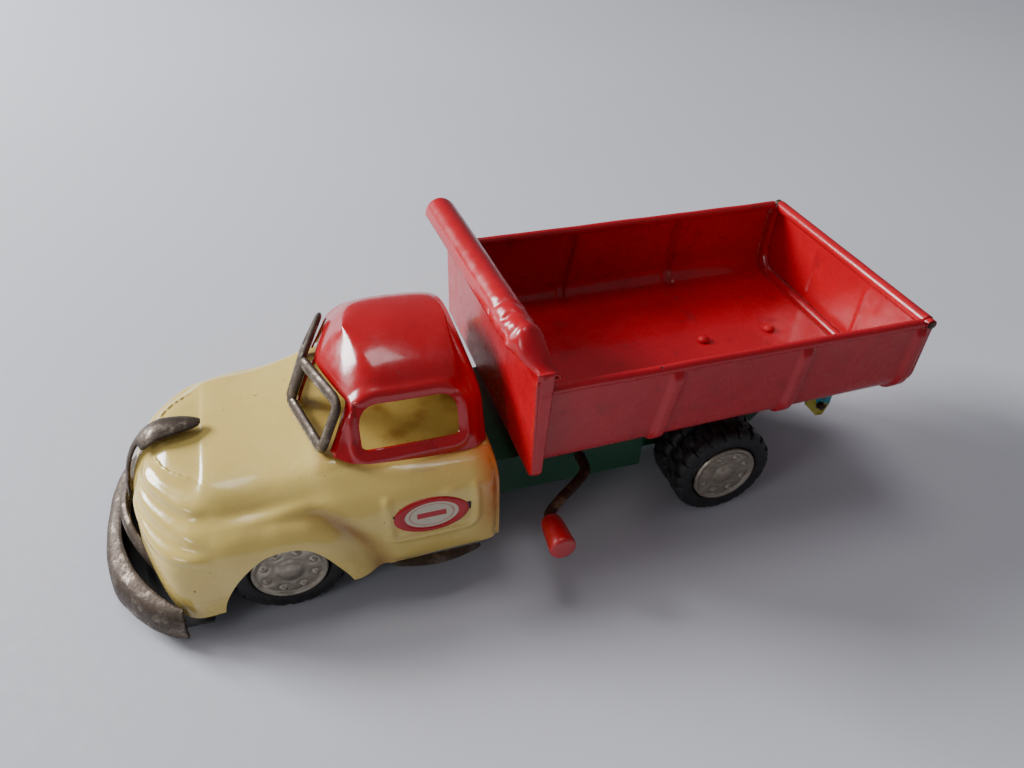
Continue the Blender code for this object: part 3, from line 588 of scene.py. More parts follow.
@dataclass(frozen=True)
class Plating:
    """Dull plating with brown tarnish and rubbed bright spots."""

    name: str
    bright: tuple[float, float, float]
    tarnish: tuple[float, float, float]
    tarnish_low: float = 0.36
    gloss: float = 0.3
    fine_share: float = 0.6
    pitting: float = 0.08

    def material(self) -> bpy.types.Material:
        """Make the plated finish."""
        wiring = Wiring(self.name)
        patches = wiring.fade(wiring.cloud(0.35, 6.0), self.tarnish_low, self.tarnish_low + 0.22)
        fine = wiring.fade(wiring.cloud(2.2, 4.0, (1, 0.4, 1), 9.0), 0.4, 0.75, self.fine_share)
        colour = wiring.blend(patches, self.bright, self.tarnish)
        colour = wiring.blend(fine, colour, tuple(0.45 * c for c in self.tarnish))
        rough = wiring.plus(wiring.times(patches, 0.2), self.gloss)
        rough = wiring.plus(rough, wiring.times(fine, 0.25))
        wiring.bump(wiring.cloud(1.6, 5.0, shift=6.0), self.pitting)
        metal = wiring.math("SUBTRACT", 0.95, wiring.times(patches, 0.35))
        return wiring.finish(colour, rough, metal)


@dataclass(frozen=True)
class TyreRubber:
    """Old black rubber with grey dust in its hollows."""

    name: str = "old_tyre_rubber"
    colour: tuple[float, float, float] = (0.008, 0.0075, 0.008)
    dust: tuple[float, float, float] = (0.045, 0.04, 0.036)

    def material(self) -> bpy.types.Material:
        """Make the rubber."""
        wiring = Wiring(self.name)
        dusty = wiring.fade(wiring.cloud(0.5, 6.0), 0.48, 0.8, 0.8)
        wiring.bump(wiring.cloud(2.5, 4.0, shift=3.0), 0.1)
        rough = wiring.plus(wiring.times(dusty, 0.25), 0.5)
        return wiring.finish(wiring.blend(dusty, self.colour, self.dust), rough)


@dataclass(frozen=True)
class OvalPrint:
    """The badge: a red rim round an off-white field with a plain red bar and keyline."""

    centre: tuple[float, float]
    half_size: tuple[float, float]
    name: str = "badge_print"
    red: tuple[float, float, float] = (0.50, 0.012, 0.02)
    field_white: tuple[float, float, float] = (0.62, 0.56, 0.42)

    def material(self) -> bpy.types.Material:
        """Make the printed oval."""
        wiring = Wiring(self.name)
        along = wiring.math("DIVIDE", wiring.math("SUBTRACT", wiring.y, self.centre[0]), self.half_size[0])
        up = wiring.math("DIVIDE", wiring.math("SUBTRACT", wiring.z, self.centre[1]), self.half_size[1])
        ring = wiring.length(along, up)
        rim = wiring.fade(ring, 0.70, 0.73)
        keyline = wiring.times(wiring.fade(ring, 0.56, 0.575), wiring.fade(ring, 0.62, 0.605))
        bar = wiring.times(wiring.fade(wiring.math("ABSOLUTE", up), 0.17, 0.14),
                           wiring.fade(wiring.math("ABSOLUTE", along), 0.40, 0.38))
        ink = wiring.larger(rim, wiring.larger(bar, wiring.times(keyline, 0.55)))
        worn = wiring.fade(wiring.cloud(0.8, 5.0), 0.62, 0.7, 0.35)
        colour = wiring.blend(ink, self.field_white, self.red)
        colour = wiring.blend(worn, colour, (0.16, 0.07, 0.04))
        wiring.bump(wiring.cloud(1.2, 3.0), 0.05)
        return wiring.finish(colour, wiring.plus(worn, 0.25))


@dataclass(frozen=True)
class PrintedTin:
    """Scrap printed tin reused for the hinge bracket: teal with yellow patches."""

    name: str = "printed_tin"
    teal: tuple[float, float, float] = (0.02, 0.26, 0.32)
    yellow: tuple[float, float, float] = (0.42, 0.35, 0.03)

    def material(self) -> bpy.types.Material:
        """Make the printed tin."""
        wiring = Wiring(self.name)
        patch = wiring.fade(wiring.cloud(0.16, 1.0, shift=2.4), 0.5, 0.53)
        lower = wiring.larger(patch, wiring.fade(wiring.z, 19.2, 18.4))
        colour = wiring.blend(lower, self.teal, self.yellow)
        colour = wiring.blend(wiring.fade(wiring.cloud(0.7, 5.0), 0.58, 0.7, 0.7), colour, (0.02, 0.02, 0.02))
        wiring.bump(wiring.cloud(1.0, 3.0), 0.06)
        return wiring.finish(colour, wiring.fade(wiring.cloud(0.4, 3.0), 0.2, 0.9, 0.7))


@dataclass(frozen=True)
class Paper:
    """The matt pale floor."""

    colour: tuple[float, float, float] = (0.62, 0.62, 0.66)
    fibre: tuple[float, float, float] = (0.57, 0.57, 0.61)

    def material(self) -> bpy.types.Material:
        """Make the floor's paper."""
        wiring = Wiring("pale_paper")
        colour = wiring.blend(wiring.fade(wiring.cloud(0.004, 3.0), 0.3, 0.7, 0.6), self.colour, self.fibre)
        wiring.bump(wiring.cloud(1.6, 3.0), 0.01)
        return wiring.finish(colour, wiring.fade(wiring.cloud(0.3, 2.0), -1.0, 1.0, 0.9))


@dataclass(frozen=True)
class FinishSet:
    """Every finish on the truck, made once."""

    cream: bpy.types.Material
    red: bpy.types.Material
    bed_red: bpy.types.Material
    green: bpy.types.Material
    plate: bpy.types.Material
    hub: bpy.types.Material
    wire: bpy.types.Material
    rubber: bpy.types.Material
    lacquer: bpy.types.Material
    soot: bpy.types.Material
    printed: bpy.types.Material
    grip: bpy.types.Material

    @classmethod
    def make(cls) -> "FinishSet":
        """Wire every material."""
        return cls(
            cream=CabEnamel("cream_enamel", (0.80, 0.59, 0.165), (0.74, 0.53, 0.135), (0.20, 0.11, 0.03),
                            0.10, 0.12, 0.17).material(),
            red=Enamel("red_enamel", (0.50, 0.004, 0.010), (0.40, 0.003, 0.008), (0.05, 0.006, 0.006),
                       0.25, 0.30, 0.16).material(),
            bed_red=Enamel("bed_red_enamel", (0.52, 0.004, 0.013), (0.40, 0.003, 0.010), (0.06, 0.006, 0.008),
                           0.45, 0.30, 0.22, 0.2).material(),
            green=Enamel("green_enamel", (0.0, 0.075, 0.028), (0.0, 0.05, 0.02), (0.01, 0.01, 0.008),
                         0.5, 0.2, 0.3).material(),
            plate=Plating("tarnished_plate", (0.20, 0.16, 0.125), (0.075, 0.052, 0.036),
                          0.30, 0.30).material(),
            hub=Plating("hub_plating", (0.42, 0.37, 0.30), (0.33, 0.28, 0.22),
                        0.45, 0.38, 0.25, 0.02).material(),
            wire=Plating("rusted_wire", (0.22, 0.13, 0.08), (0.07, 0.03, 0.018), 0.30, 0.42).material(),
            rubber=TyreRubber().material(),
            lacquer=Enamel("gold_lacquer", (0.58, 0.42, 0.11), (0.42, 0.28, 0.06), (0.05, 0.03, 0.01),
                           0.6, 0.5, 0.3).material(),
            soot=Enamel("dark_inside", (0.012, 0.010, 0.010), (0.02, 0.016, 0.014), (0.005, 0.004, 0.004),
                        0.5, 0.2, 0.45, 0.1).material(),
            printed=PrintedTin().material(),
            grip=Enamel("red_grip", (0.50, 0.008, 0.012), (0.42, 0.006, 0.010), (0.12, 0.01, 0.01),
                        0.2, 0.1, 0.3).material())


def dress(node: bpy.types.Object, finish: bpy.types.Material) -> None:
    """Give a CAD node its finish."""
    node.data.materials.clear()
    node.data.materials.append(finish)
    LOG.info("%s: dressed in %s", node.name, finish.name)


# ---------------------------------------------------------------- cab

@dataclass
class CabBody:
    """The cream cab body: bonnet, fenders, doors, top plate and rear wall in one pressing."""

    # nose (y, z); nose corner (x, y, z); (x, z) at the fender, cowl, door and rear corner
    levels: tuple = (
        ((-88.2, 15.0), (28.6, -79.0, 6.5), (30.9, 6.0), (30.4, 8.0), (30.3, 10.6), (30.2, 11.0)),
        ((-88.1, 16.5), (28.3, -79.3, 13.0), (31.0, 14.0), (30.6, 15.0), (30.4, 16.0), (30.3, 16.0)),
        ((-87.6, 19.5), (26.0, -79.6, 19.0), (30.4, 20.5), (30.4, 21.0), (30.3, 21.5), (30.2, 21.0)),
        ((-86.9, 22.0), (23.5, -78.6, 22.3), (28.9, 24.2), (29.5, 24.8), (29.9, 25.5), (30.0, 25.4)),
        ((-85.9, 24.6), (21.6, -76.9, 24.6), (26.2, 26.5), (27.5, 27.9), (28.8, 28.5), (29.2, 28.6)),
        ((-84.6, 27.0), (19.8, -75.6, 26.6), (23.6, 27.3), (25.2, 30.2), (26.8, 30.9), (27.4, 31.0)),
        ((-83.3, 28.9), (18.6, -74.6, 28.3), (22.0, 28.8), (23.0, 32.4), (24.2, 32.3), (24.8, 32.3)),
        ((-81.6, 30.4), (16.8, -73.2, 29.7), (20.0, 30.3), (20.6, 34.0), (20.8, 32.7), (20.6, 32.2)),
        ((-79.4, 31.4), (14.4, -71.6, 30.8), (17.0, 31.4), (17.6, 34.4), (17.6, 32.9), (17.6, 32.4)),
    )
    rear_y: tuple = (-11.3, -11.3, -11.3, -11.3, -11.3, -11.5, -12.2, -14.0, -16.0)
    crown_y: tuple = (-80.0, -67.0, -57.0, -50.0, -40.0, -16.0)
    crown: tuple = (0.1, 1.1, 1.6, 1.3, 0.3, 0.1)
    crown_reach: float = 9.0
    softened: tuple = (31.5, 27.5)
    soft_passes: int = 50
    around: int = 230
    up_rows: int = 84
    lid_rows: int = 18
    tin: float = 0.5
    chassis_half: float = 17.8
    chassis_top: float = 22.1
    arch: tuple = ((-71.4, 5.0), (-70.1, 9.9), (-66.7, 15.6), (-62.0, 19.9), (-57.5, 21.2), (-53.4, 20.7),
                   (-50.0, 18.2), (-46.0, 11.6), (-43.6, 6.0))
    door: tuple = ((-35.6, 27.6), (-35.6, 17.6), (-17.0, 17.6), (-17.0, 28.6))

    def ring(self, level: Sequence, rear_y: float) -> np.ndarray:
        """Return one level's half ring, front centre to rear centre."""
        nose, corner, fender, cowl, door, rear = level
        quarter = corner[0] * 0.55
        bow = (corner[1] - nose[0]) / corner[0] ** 2
        drop = (nose[1] - corner[2]) / corner[0] ** 2
        posts = [(0.0, nose[0], nose[1]),
                 (quarter, nose[0] + bow * quarter ** 2, nose[1] - drop * quarter ** 2),
                 corner,
                 (fender[0] - 0.7, -69.5, (fender[1] + corner[2]) / 2),
                 (fender[0], -60.0, fender[1]),
                 ((fender[0] + cowl[0]) / 2, -51.0, (fender[1] + cowl[1]) / 2),
                 (cowl[0], -44.0, cowl[1]),
                 (door[0], -30.0, door[1]),
                 (rear[0], rear_y - 4.5, rear[1]),
                 (rear[0] - 1.1, rear_y - 1.2, rear[1]),
                 (rear[0] - 4.4, rear_y, rear[1]),
                 (0.0, rear_y, rear[1])]
        return spline(posts, np.linspace(0, 1, self.around + 1))

    def relief(self, point: Vector) -> float:
        """Return how far the pressing's details stand out at a point."""
        x, y, z = point
        height = 0.0
        if abs(x) > 24.5:
            arch = [Vector(p) for p in self.arch]
            lip = distance_to(arch, y, z, closed=False)
            behind = glide(y, -66.0, -50.0) * glide(abs(x), 24.5, 27.5)
            height += 0.35 * bell(lip - 1.5, 2.0) * behind
            height -= 1.25 * bell(lip - 6.6, 2.3) * behind * glide(z, 30.0, 26.0)
            bead = distance_to(self.door_line, y, z, closed=False)
            height += 0.62 * bell(bead, 0.75) * glide(z, 30.0, 28.5)
            handle = hypot((y + 22.4) / 1.9, (z - 28.2) / 0.7)
            height += 0.65 * bell(handle, 0.8)
            height += 0.12 * bell(hypot((y + 26.8) / 10.5, (z - 23.5) / 6.5) - 1.0, 0.25)
        if y < -70.0 and 18.0 < z < 30.5:
            tier = 0.5 - 0.5 * cos(2 * pi * (z - 19.4) / 3.35)
            height += 0.62 * tier * glide(y, -70.0, -75.5) * glide(abs(x), 3.5, 8.0) * glide(z, 18.0, 20.0)
        return height

    def build(self, finishes: FinishSet) -> None:
        """Press the body, cut its arches and dress it."""
        self.door_line = rounded_outline(self.door, (0.0, 2.4, 3.4, 0.0), 8)
        rings = np.stack([self.ring(level, rear) for level, rear in zip(self.levels, self.rear_y)])
        bm = shell(loft(rings, self.up_rows), self.lid_rows,
                   lambda y: read_soft(y, self.crown_y, self.crown, self.crown_reach))
        soften(bm, np.linspace(*self.softened, self.soft_passes), 0.5)
        press(bm, self.relief)
        piece = make_piece("cab_body_skin", bm, (finishes.cream, finishes.soot), "truck", ["cab_body"])
        thicken(piece, self.tin, inner_slot=1)
        arch = spline(self.arch, np.linspace(0, 1, 60))
        outline = [Vector((-71.6, 2.0))] + [Vector(p) for p in arch] + [Vector((-43.0, 2.0))]
        carve(piece, outline, 0, -36, 36)
        half, top = self.chassis_half, self.chassis_top
        notch = [Vector(p) for p in ((-half, -1.0), (half, -1.0), (half, top), (-half, top))]
        carve(piece, notch, 1, -17, -6)


@dataclass
class CabRoof:
    """The red roof shell with its side windows and vee windscreen openings."""

    # heights (front, middle, rear); half width; windscreen centre y, corner x, y; rear y
    levels: tuple = (
        ((35.2, 33.0, 32.5), 23.2, (-49.9, 20.8, -44.3), -12.1),
        ((38.0, 38.0, 38.0), 21.2, (-48.8, 19.8, -43.0), -12.1),
        ((42.0, 42.0, 42.0), 20.1, (-47.1, 18.8, -41.2), -12.3),
        ((45.7, 45.5, 45.5), 18.7, (-45.4, 17.3, -39.4), -13.0),
        ((49.2, 49.0, 48.8), 16.2, (-42.4, 14.8, -37.4), -14.2),
        ((51.8, 51.6, 51.2), 12.4, (-39.0, 11.4, -35.6), -16.2),
    )
    crown_y: tuple = (-39, -28, -16)
    crown: tuple = (0.6, 2.3, 1.2)
    crown_reach: float = 7.0
    softened: tuple = (48.0, 43.5)
    soft_passes: int = 150
    flat_columns: int = 20
    side_columns: int = 84
    up_rows: int = 45
    lid_rows: int = 14
    tin: float = 0.5
    window: tuple = ((-38.6, 36.0), (-18.3, 36.0), (-18.3, 45.2), (-38.6, 45.2))
    window_radii: tuple = (1.2, 1.2, 4.0, 5.0)
    pane: tuple = ((0.5, 34.0), (18.8, 34.0), (16.4, 45.0), (0.5, 45.2))
    pane_radii: tuple = (0.8, 2.0, 2.0, 0.8)

    def ring(self, level: Sequence) -> np.ndarray:
        """Return one level's half ring; the windscreen face stays flat."""
        (front_z, middle_z, rear_z), half, (centre_y, corner_x, corner_y), rear_y = level
        ease = np.linspace(0, 1, self.flat_columns, endpoint=False)[:, None]
        flat = (1 - ease) * np.array((0, centre_y, front_z)) + ease * np.array((corner_x, corner_y, front_z))
        posts = [(corner_x, corner_y, front_z),
                 (half - 0.4, corner_y + 4.6, (front_z + middle_z) / 2),
                 (half, -28.0, middle_z),
                 (half - 0.2, rear_y - 5.0, rear_z),
                 (half - 1.6, rear_y - 1.3, rear_z),
                 (half - 5.0, rear_y, rear_z),
                 (0.0, rear_y + 0.2, rear_z)]
        return np.vstack((flat, spline(posts, np.linspace(0, 1, self.side_columns + 1))))

    def relief(self, point: Vector) -> float:
        """Return the ridge pressed round each side window and above it."""
        x, y, z = point
        if abs(x) < 15.5 or y < -45:
            return 0.0
        edge = distance_to(self.opening, y, z)
        inside = -39.0 < y < -18.0 and 36.0 < z < 45.2
        ridge = 0.0 if inside and edge > 0.4 else 0.6 * bell(edge - 1.6, 0.9)
        return ridge - 0.2 * bell(edge, 0.6)

    def build(self, finishes: FinishSet) -> None:
        """Press the roof, cut its windows and dress it."""
        self.opening = rounded_outline(self.window, self.window_radii)
        rings = np.stack([self.ring(level) for level in self.levels])
        bm = shell(loft(rings, self.up_rows), self.lid_rows,
                   lambda y: read_soft(y, self.crown_y, self.crown, self.crown_reach))
        soften(bm, np.linspace(*self.softened, self.soft_passes), 0.6)
        press(bm, self.relief)
        piece = make_piece("cab_roof_skin", bm, (finishes.red, finishes.lacquer), "truck", ["cab_roof"])
        thicken(piece, self.tin, inner_slot=1)
        carve(piece, self.opening, 0, -30, 30)
        rounded = rounded_outline(self.pane, self.pane_radii)
        for side in Side:
            pane = [Vector((side.value * point[0], point[1])) for point in rounded]
            carve(piece, pane, 1, -58, -38.6)


@dataclass
class Brightwork:
    """The tarnished trim: windscreen frame, bonnet ornament, grille bar, bumper, running boards."""

    frame_foot: tuple = ((0.0, -51.6, 35.6), (19.4, -46.4, 35.3))
    frame_head: tuple = ((0.0, -47.1, 46.0), (16.6, -41.3, 46.2))
    pane: tuple = ((0.055, 0.05), (0.95, 0.03), (0.985, 0.93), (0.055, 0.94))
    pane_radii: tuple = (0.05, 0.13, 0.18, 0.05)
    bead: float = 1.25
    bumper_half: int = 60
    bumper_rows: int = 28

    def pane_point(self, side: Side, u: float, v: float) -> Vector:
        """Return a point on one windscreen face."""
        foot = Vector(self.frame_foot[0]).lerp(Vector(self.frame_foot[1]), u)
        head = Vector(self.frame_head[0]).lerp(Vector(self.frame_head[1]), u)
        point = foot.lerp(head, v)
        return Vector((side.value * point.x, point.y, point.z))

    def windscreen(self, finishes: FinishSet) -> None:
        """Roll the frame: a half-round bead round each pane, meeting in the centre post."""
        outline = rounded_outline(self.pane, self.pane_radii, 10)
        for side in Side:
            path = [self.pane_point(side, p[0], p[1]) for p in outline]
            centre = sum(path, Vector()) / len(path)
            across = (path[10] - path[0]).cross(path[30] - path[10]).normalized()
            across = across if across.y < 0 else -across

            def place(u: float, v: float) -> Vector:
                """Return a point on the bead."""
                i = round(u * len(path)) % len(path)
                ahead = (path[(i + 1) % len(path)] - path[i - 1]).normalized()
                out = ahead.cross(across).normalized()
                out = out if out.dot(path[i] - centre) > 0 else -out
                angle = 2 * pi * v
                height = 0.62 * self.bead * sin(angle) + 0.05
                return path[i] + out * (1.1 * self.bead * cos(angle)) + across * height

            bm = sheet(len(path), 14, place)
            for vert in bm.verts:
                if vert.co.x * side.value < 0:
                    vert.co.x = 0.0
            make_piece("windscreen_frame_" + side.word, bm, (finishes.plate,), "truck", ["windscreen_frame"])

    def ornament(self, finishes: FinishSet) -> None:
        """Press the leaf-shaped bonnet ornament that folds down over the nose."""
        spine = ((0, -70.4, 33.9), (0, -73.4, 34.5), (0, -77.0, 34.7), (0, -80.4, 34.1), (0, -84.2, 31.4),
                 (0, -86.8, 27.0), (0, -88.5, 21.5), (0, -89.3, 16.4))
        rows = 120
        along = np.linspace(0, 1, rows + 1)
        path = spline(spine, along)
        widths = [read_soft(t, (0.0, 0.02, 0.08, 0.2, 0.34, 0.5, 0.53, 0.56, 1.0),
                            (0.6, 1.2, 1.9, 2.8, 3.5, 3.75, 3.6, 1.5, 1.3), 0.008) for t in along]

        def place(u: float, v: float) -> Vector:
            """Return a point on the leaf's crowned skin."""
            i = round(v * rows)
            t = 2 * u - 1
            half = widths[i]
            sag = 0.36 * half * t * t
            fold = glide(path[i][1], -82.0, -87.0)
            y = path[i][1] + sag * (0.2 + 0.8 * fold)
            return Vector((half * t, y, path[i][2] - sag * (1 - 0.7 * fold)))

        bm = sheet(16, rows, place)
        face_towards(bm, Vector((0, -0.5, 1)))
        piece = make_piece("bonnet_ornament_leaf", bm, (finishes.plate,), "truck", ["bonnet_ornament"])
        thicken(piece, 0.5)

    def grille(self, finishes: FinishSet) -> None:
        """Bend the grille bar round the top of the nose opening."""
        def place(u: float, v: float) -> Vector:
            """Return a point on the bar's rounded skin."""
            x = -23.5 + 47.0 * u
            angle = pi * (v - 0.5)
            back = min(0.0215 * x * x, 0.0165 * x * x + 1.6)
            y = -91.6 + back + 1.9 * (1 - cos(angle))
            return Vector((x, y, 14.2 - 0.0142 * x * x + 1.75 * sin(angle)))

        bm = sheet(70, 16, place)
        face_towards(bm, Vector((0, -1, 0)))
        piece = make_piece("grille_bar_skin", bm, (finishes.plate,), "truck", ["grille_bar"])
        thicken(piece, 0.4)

    def bumper(self, finishes: FinishSet) -> None:
        """Press the wrap-round bumper: a rounded face with turned-in edges."""
        samples = np.linspace(0, 1, self.bumper_half + 1)
        low = spline(((0, -96.2), (8.5, -95.8), (16.5, -94.2), (22.4, -91.0), (28.0, -86.4), (31.2, -82.3),
                      (32.6, -79.0)), samples)
        top = spline(((0, -92.8), (7.0, -92.4), (12.6, -91.1), (18.4, -88.8), (24.4, -85.0), (28.8, -81.2),
                      (30.8, -78.6)), samples)
        section = spline(((0.16, 3.3), (0.0, 3.7), (0.0, 5.2), (0.06, 7.2), (0.2, 8.9), (0.5, 10.1),
                          (0.95, 10.7), (1.2, 10.7)), np.linspace(0, 1, self.bumper_rows + 1))

        def place(u: float, v: float) -> Vector:
            """Return a point on the bumper's skin."""
            side = 1 if u >= 0.5 else -1
            i = round(abs(u - 0.5) * 2 * self.bumper_half)
            lean, z = section[round(v * self.bumper_rows)]
            x = low[i][0] + (top[i][0] - low[i][0]) * lean
            return Vector((side * x, low[i][1] + (top[i][1] - low[i][1]) * lean, z))

        bm = sheet(2 * self.bumper_half, self.bumper_rows, place)
        face_towards(bm, Vector((0, -1, 0.5)))
        press(bm, lambda p: 0.12 * noise.noise(p * 0.25))
        piece = make_piece("bumper_skin", bm, (finishes.plate,), "truck", ["bumper"])
        thicken(piece, 0.6)

    def running_boards(self, finishes: FinishSet) -> None:
        """Press the two lens-shaped running boards."""
        for side in Side:
            def place(u: float, v: float) -> Vector:
                """Return a point on the board's crowned skin."""
                y = -36.0 + 19.5 * u
                reach = 2.25 * sin(pi * min(max(u, 0.0), 1.0)) ** 0.8
                drop = 0.85 * v * v
                return Vector((side.value * (30.9 + reach * v), y, 11.15 - drop))

            bm = sheet(40, 8, place)
            face_towards(bm, Vector((0, 0, 1)))
            piece = make_piece("running_board_skin_" + side.word, bm, (finishes.plate,), "truck",
                               ["running_board_" + side.word])
            thicken(piece, 0.35, offset=-0.2)

    def build(self, finishes: FinishSet) -> None:
        """Make all the trim."""
        self.windscreen(finishes)
        self.ornament(finishes)
        self.grille(finishes)
        self.bumper(finishes)
        self.running_boards(finishes)


@dataclass
class DoorBadges:
    """The oval badges, each held by two tabs through slots in its door."""

    centre: tuple = (30.4, -26.8, 23.3)
    half_size: tuple = (8.0, 4.15)
    lean: float = radians(11)
    tab_size: tuple = (0.5, 0.9, 2.2)
    tab_bevel: float = 0.15
    tab_reach: float = 8.15
    tab_z: float = 23.5

    def build(self, finishes: FinishSet) -> None:
        """Press and print both badges."""
        printed = OvalPrint(self.centre[1:], self.half_size).material()
        for side in Side:
            def place(u: float, v: float) -> Vector:
                """Return a point on the oval: rings from the centre to the turned-down edge."""
                angle = 2 * pi * u
                ring = min(1.0, v / 0.92)
                edge = 0.45 * max(0.0, v - 0.92) / 0.08
                height = 0.22 * bell(ring - 0.86, 0.10) - 0.08 * bell(ring, 0.6) - edge
                y = self.half_size[0] * ring * cos(angle)
                up = self.half_size[1] * ring * sin(angle)
                z = up * cos(self.lean) + height * sin(self.lean)
                out = height * cos(self.lean) - up * sin(self.lean)
                x = side.value * (self.centre[0] + 0.12 + out)
                return Vector((x, self.centre[1] + y, self.centre[2] + z))

            bm = sheet(72, 30, place)
            face_towards(bm, Vector((side.value, 0, 0)))
            make_piece("badge_skin_" + side.word, bm, (printed,), "truck", ["badge_" + side.word])
            for end in (-1, 1):
                tab = bmesh.new()
                where = Vector((side.value * (self.centre[0] - 0.28),
                                self.centre[1] + end * self.tab_reach, self.tab_z))
                bmesh.ops.create_cube(tab, size=1.0)
                bmesh.ops.scale(tab, vec=self.tab_size, verts=tab.verts)
                bmesh.ops.bevel(tab, geom=list(tab.edges), offset=self.tab_bevel, segments=2,
                                affect="EDGES", profile=0.5, material=-1)
                bmesh.ops.translate(tab, vec=where, verts=tab.verts)
                end_name = "front" if end < 0 else "rear"
                make_piece("badge_tab_%s_%s" % (side.word, end_name), tab, (finishes.soot,), "truck", [])


# ---------------------------------------------------------------- wheels

@dataclass
class Wheel:
    """One tyre with chunky tread and, on an outer wheel, its hub cap."""

    tyre_node: str
    body: str
    axle_y: float
    outer_face: float
    side: Side
    hub_node: str = ""
    radius: float = 12.5
    width: float = 7.2
    bore: float = 8.25
    lugs: int = 20
    groove: float = 0.6
    tyre_rows: int = 48
    steps_per_lug: int = 12
    hub_sides: int = 96
    hub_rows: int = 60
    studs: int = 8
    stud_circle: float = 5.5

    def tyre(self, finishes: FinishSet) -> None:
        """Mould the tyre: rounded walls with a stepped shoulder, and staggered lugs on the crown."""
        centre = self.outer_face - self.width / 2
        half = ((self.bore, 2.9), (self.bore + 0.35, 3.35), (9.4, 3.55), (10.8, 3.5), (11.8, 3.1),
                (12.35, 2.4), (self.radius, 1.2))
        other = tuple((radius, -along) for radius, along in reversed(half))
        profile = spline(half + other, np.linspace(0, 1, self.tyre_rows + 1))

        def place(u: float, v: float) -> Vector:
            """Return a point on the tyre."""
            radius, along = profile[round(v * self.tyre_rows)]
            angle = 2 * pi * u
            row = 0.0 if along > 0 else 0.5
            cut = abs(((u * self.lugs + row) % 1.0) - 0.5)
            crown = glide(radius, 11.0, 11.9)
            depth = crown * self.groove * glide(cut, 0.17, 0.10)
            depth = max(depth, 0.35 * crown * bell(along, 0.4))
            radius -= depth
            return Vector((self.side.value * (centre + along), self.axle_y - radius * sin(angle),
                           self.radius - radius * cos(angle)))

        bm = sheet(self.lugs * self.steps_per_lug, self.tyre_rows, place)
        make_piece(self.tyre_node + "_moulded", bm, (finishes.rubber,), self.body, [self.tyre_node])

    def hub(self, finishes: FinishSet) -> None:
        """Press the hub cap: domed centre, ring of dimples and a rolled rim."""
        face = self.outer_face + 0.3
        profile = spline(((0.0, 0.28), (1.0, 0.22), (2.0, -0.05), (2.8, -0.42), (3.4, -0.5), (4.2, -0.42),
                          (5.6, -0.36), (6.6, -0.42), (7.1, -0.2), (7.6, -0.05), (7.95, -0.4), (8.0, -1.2),
                          (8.0, -6.3)), np.linspace(0, 1, self.hub_rows + 1))

        def place(u: float, v: float) -> Vector:
            """Return a point on the cap."""
            radius, along = profile[round(v * self.hub_rows)]
            angle = 2 * pi * u
            nearest = ((angle / (2 * pi) * self.studs) % 1.0 - 0.5) * 2 * pi / self.studs * radius
            stud = hypot(nearest, radius - self.stud_circle)
            along += 0.5 * bell(stud, 0.5) - 0.18 * bell(stud - 1.0, 0.35)
            return Vector((self.side.value * (face + along), self.axle_y - radius * sin(angle),
                           self.radius - radius * cos(angle)))

        bm = sheet(self.hub_sides, self.hub_rows, place)
        face_towards(bm, Vector((self.side.value, 0, 0)))
        piece = make_piece(self.hub_node + "_pressed", bm, (finishes.hub,), self.body, [self.hub_node])
        thicken(piece, 0.4)

    def build(self, finishes: FinishSet) -> None:
        """Make the tyre, and the hub cap where there is one."""
        self.tyre(finishes)
        if self.hub_node:
            self.hub(finishes)


def wheels() -> Iterable[Wheel]:
    """List the six wheels: two in front and two pairs behind."""
    for side in Side:
        word = side.word
        yield Wheel("front_tyre_" + word, "front_wheels", FRONT_AXLE_Y, 28.3, side, "front_hub_cap_" + word)
        yield Wheel("rear_outer_tyre_" + word, "rear_wheels", REAR_AXLE_Y, 28.0, side, "rear_hub_cap_" + word)
        yield Wheel("rear_inner_tyre_" + word, "rear_wheels", REAR_AXLE_Y, 20.5, side)


# ---------------------------------------------------------------- bed

